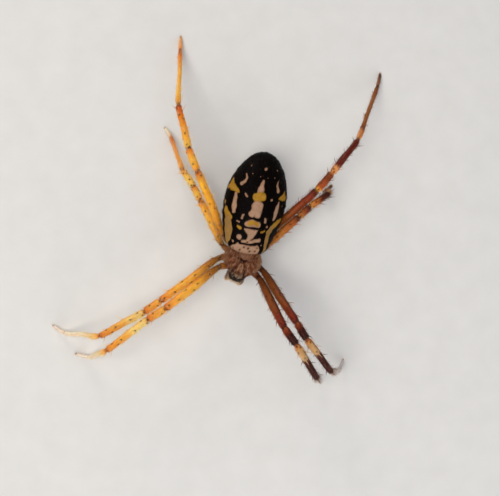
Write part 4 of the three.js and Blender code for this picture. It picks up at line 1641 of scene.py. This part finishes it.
palp_material = cuticle_material(
    "palp_skin", palp_colour, 0.3, 0.05, 0.008, Roughness=0.4, Subsurface_Weight=0.2,
    Subsurface_Scale=0.3 * MM,
)
palp_hair_material = plain_material(
    "palp_hair", palp_hair_colour, Roughness=0.55, Specular_IOR_Level=0.15,
)
for side, out in SIDES.items():
    surface = tube_surface(line_of(f"palp_{side}", on_side(PALP_ROOT, out)), PALP_OUTLINE)
    add_tube(f"palp_{side}_skin", surface, PALP_GRID, palp_material, "palp", [f"palp_{side}"])
    draw = np.random.default_rng(PALP_SEED + out)
    hairs = soft_coat(surface, PALP_HAIRS, draw, 0.2, (0.12, 0.24), (0.016, 0.028), (10, 28))
    add_coat(f"palp_coat_{side}", [hairs], palp_hair_material)

# %% [markdown]
# ## Underside
# Under the carapace lies the sternum, a heart-shaped plate between the legs with a pale
# stripe down its middle. In front of it are the lip and the two jaw plates. Both solids
# hang from the carapace's rim, and each is written as cross sections again: millimetres
# back from the waist, half width, and how far it hangs.

# %% Sternum and mouth plates
STERNUM_SECTIONS = [
    (-3.38, 0, 1.0), (-3.3, 0.72, 1.3), (-2.9, 0.98, 1.42), (-2.1, 1.1, 1.5), (-1.4, 1.0, 1.5),
    (-0.85, 0.7, 1.4), (-0.4, 0.4, 1.1), (-0.25, 0, 0.9),
]
MOUTH_SECTIONS = [
    (-4.06, 0, 1.1), (-4.0, 0.45, 1.5), (-3.85, 0.68, 1.75), (-3.68, 0.72, 1.7),
    (-3.5, 0.6, 1.5), (-3.43, 0, 1.2),
]
PLATES = {"sternum": (STERNUM_SECTIONS, 0.0), "mouthparts": (MOUTH_SECTIONS, 0.22)}
PLATE_COAT = 0.04
PLATE_GRID = (72, 64)
PLATE_HAIRS = 1200
PLATE_SEED = 80
CLEFT_WIDTH = 0.09
CLEFT_START = 0.5
STRIPE_WIDTH = 0.34


def hanging_surface(sections, cleft):
    """A plate that hangs from the rim, with a cleft along its middle."""
    def surface(along, around):
        y, half, depth = section_at(sections, along)
        turn = around * math.tau
        x = np.maximum(half - PLATE_COAT, 0) * np.sin(turn)
        hang = np.sqrt(np.clip(-np.cos(turn), 0, 1)) * (depth - PLATE_COAT)
        hang = hang - cleft * np.exp(-(x / CLEFT_WIDTH) ** 2) * (hang > CLEFT_START)
        return placed(np.stack([x, y, RIM_HEIGHT - PLATE_COAT - hang], axis=1), HEAD_TURN)

    return surface


def underneath(along, around):
    """Hairs on the lower side only."""
    return np.clip(-np.cos(around * math.tau), 0, 1)


def underside_colour(tree):
    """Dark brown, with a straw stripe where a middle is stored."""
    stripe = step_up(tree, stored(tree, "middle"), 0.45, 0.6)
    brown = blend(tree, speckle(tree, 0.8), paint("2A1610"), paint("4A2A1A"))
    return blend(tree, stripe, brown, paint("C9A04A"))


under_material = cuticle_material(
    "underside_skin", underside_colour, 0.3, 0.06, 0.012, Roughness=0.4, Coat_Weight=0.1,
)
for name, (sections, cleft) in PLATES.items():
    surface = hanging_surface(sections, cleft)
    shape, along, around = mould(surface, *PLATE_GRID)
    local = straightened(np.array([vert.co for vert in shape.verts]), HEAD_TURN)
    middle = np.exp(-(local[:, 0] / STRIPE_WIDTH) ** 2) * (name == "sternum")
    add_piece(f"{name}_skin", shape, under_material, [name], {"middle": middle})
    draw = np.random.default_rng(PLATE_SEED)
    hairs = soft_coat(
        surface, PLATE_HAIRS, draw, 0.3, (0.16, 0.34), (0.014, 0.024), (20, 50), weight=underneath,
    )
    add_coat(f"{name}_coat", [hairs], face_hair_material)

# %% [markdown]
# ## Waist, spinnerets and epigyne
# A short stalk joins the two halves of the body. Under the tip of the abdomen stands a
# group of spinnerets: two large pairs, with a small pair between them, on one soft base.
# The dark hooked plate near the front of the belly is the epigyne, which only an adult
# female has. Each line in the plan of the spinnerets gives how far a pair stands out to
# the side and back, how wide it is and how long.

# %% The stalk and the spinnerets
STALK_OUTLINE = [(0, 0.05), (0.04, 0.25), (0.3, 0.37), (0.9, 0.5), (1, 0.3)]
STALK_GRID = (40, 32)
low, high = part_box("pedicel")
front = Vector(((low.x + high.x) / 2, low.y, low.z))
surface = tube_surface(line_of("pedicel", front), STALK_OUTLINE)
add_tube("pedicel_skin", surface, STALK_GRID, under_material, "underside", ["pedicel"], middle=0.0)

BASE_OUTLINE = [(0, 0.1), (0.05, 0.62), (0.45, 0.6), (0.62, 0.52), (0.7, 0.3), (1.0, 0.0)]
BASE_GRID = (40, 40)
low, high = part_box("spinnerets")
top = Vector(((low.x + high.x) / 2, (low.y + high.y) / 2, high.z))
base_line = line_of("spinnerets", top)
surface = tube_surface(base_line, BASE_OUTLINE)
add_tube("spinneret_base", surface, BASE_GRID, under_material, "underside", ["spinnerets"], middle=0.0)

# %% The six spinnerets
SPINNERET_PLAN = {
    "front": (0.3, -0.2, 0.3, 0.85), "rear": (0.26, 0.32, 0.25, 0.75), "middle": (0.1, 0.08, 0.12, 0.55),
}
SPINNERET_SWELL = [(0.04, 0.9), (0.5, 1.0), (0.62, 0.8), (0.9, 0.62)]
SPINNERET_GRID = (36, 24)
SPINNERET_ROOT = 0.55
GATHER = np.array([0.35, 0.4, 0])
BLUNT_END = 0.02
foot = base_line[-1] + (base_line[0] - base_line[-1]) * SPINNERET_ROOT
fall = unit((base_line[-1] - base_line[0])[None])[0]
for name, (aside, back, width, length) in SPINNERET_PLAN.items():
    outline = [(reach, width * share) for reach, share in SPINNERET_SWELL]
    outline = [(0, BLUNT_END), *outline, (1, BLUNT_END)]
    for side, out in SIDES.items():
        stand = np.array([out * aside, back, 0])
        start = foot + stand * MM
        end = start + fall * length * MM - stand * GATHER * MM
        line = [start, start * 0.67 + end * 0.33, start * 0.33 + end * 0.67, end]
        surface = tube_surface(line, outline)
        piece_name = f"spinneret_{name}_{side}"
        add_tube(piece_name, surface, SPINNERET_GRID, under_material, "underside", middle=0.0)
print("spinnerets:", len(SIDES) * len(SPINNERET_PLAN))

# %% The epigyne
EPIGYNE_LINE = [(0, 0.55, 4.62), (0, 0.85, 4.4), (0, 1.15, 4.2), (0, 1.45, 4.06), (0, 1.7, 4.0)]
EPIGYNE_OUTLINE = [(0, 0.05), (0.1, 0.42), (0.45, 0.5), (0.7, 0.3), (0.9, 0.16), (1, 0.03)]
EPIGYNE_FLATNESS = 0.5
EPIGYNE_GRID = (40, 32)
surface = tube_surface(placed(EPIGYNE_LINE, ABDOMEN_TURN), EPIGYNE_OUTLINE, EPIGYNE_FLATNESS)
add_tube("epigyne", surface, EPIGYNE_GRID, jaw_material, "abdomen", along=0.8)

# %% [markdown]
# ## Claws
# A tarsus ends in two curved claws and a small hook between them, with which the spider
# walks on its threads. They are translucent horn and far smaller than a millimetre, so
# three bent cones are enough. A claw's path is given as millimetres ahead and up.

# %% Claws at the tips of the legs
CLAW_PATH = np.array([(-0.05, 0.0), (0.06, 0.03), (0.15, 0.0), (0.19, -0.09)])
CLAW_OUTLINE = [(0, 0.01), (0.1, 0.05), (0.4, 0.042), (0.8, 0.02), (1, 0.004)]
CLAW_GRID = (20, 10)
CLAW_SPREAD = (-0.07, 0.0, 0.07)
CLAW_SPLAY = 3
SIDE_CLAW, MIDDLE_CLAW = 1.0, 0.7
CLAW_GROUND = 0.02
LAST_STEP = 0.985
claw_material = cuticle_material(
    "claw_horn", lambda tree: paint("C09470"), 0.2, 0.03, 0.002, 0.3, Roughness=0.3,
    Specular_IOR_Level=0.3,
)


def claw_shape(tip, forward, spread):
    """One claw that starts at a tip and bends down ahead of it."""
    sideways = np.array([-forward[1], forward[0], 0.0])
    upright = np.array([0.0, 0.0, 1.0])
    path = CLAW_PATH * (SIDE_CLAW if spread else MIDDLE_CLAW)
    ahead, up = path.T[:, :, None]
    aside = spread * (1 + CLAW_SPLAY * np.maximum(ahead, 0))
    line = tip + (forward * ahead + sideways * aside + upright * up) * MM
    line[:, 2] = np.maximum(line[:, 2], CLAW_GROUND * MM)
    return mould(tube_surface(line, CLAW_OUTLINE), *CLAW_GRID)[0]


def join_to(whole, shape):
    """Moves one bmesh into another."""
    spare = bpy.data.meshes.new("spare")
    shape.to_mesh(spare)
    shape.free()
    whole.from_mesh(spare)
    bpy.data.meshes.remove(spare)


for side, pair in LEGS:
    inner, tip = LEG_SURFACES[side, pair](np.array([LAST_STEP, 1.0]), np.zeros(2))
    forward = (tip - inner) * np.array([1, 1, 0])
    forward = forward / np.linalg.norm(forward)
    claws = bmesh.new()
    for spread in CLAW_SPREAD:
        join_to(claws, claw_shape(tip, forward, spread))
    add_piece(f"leg_{pair}_{side}_claws", claws, claw_material)
print("claws:", len(LEGS) * len(CLAW_SPREAD))

# %% [markdown]
# ## The end
# The dressed spider has to keep to the size of its solids. The scene is brought up to date.

bpy.context.view_layer.update()
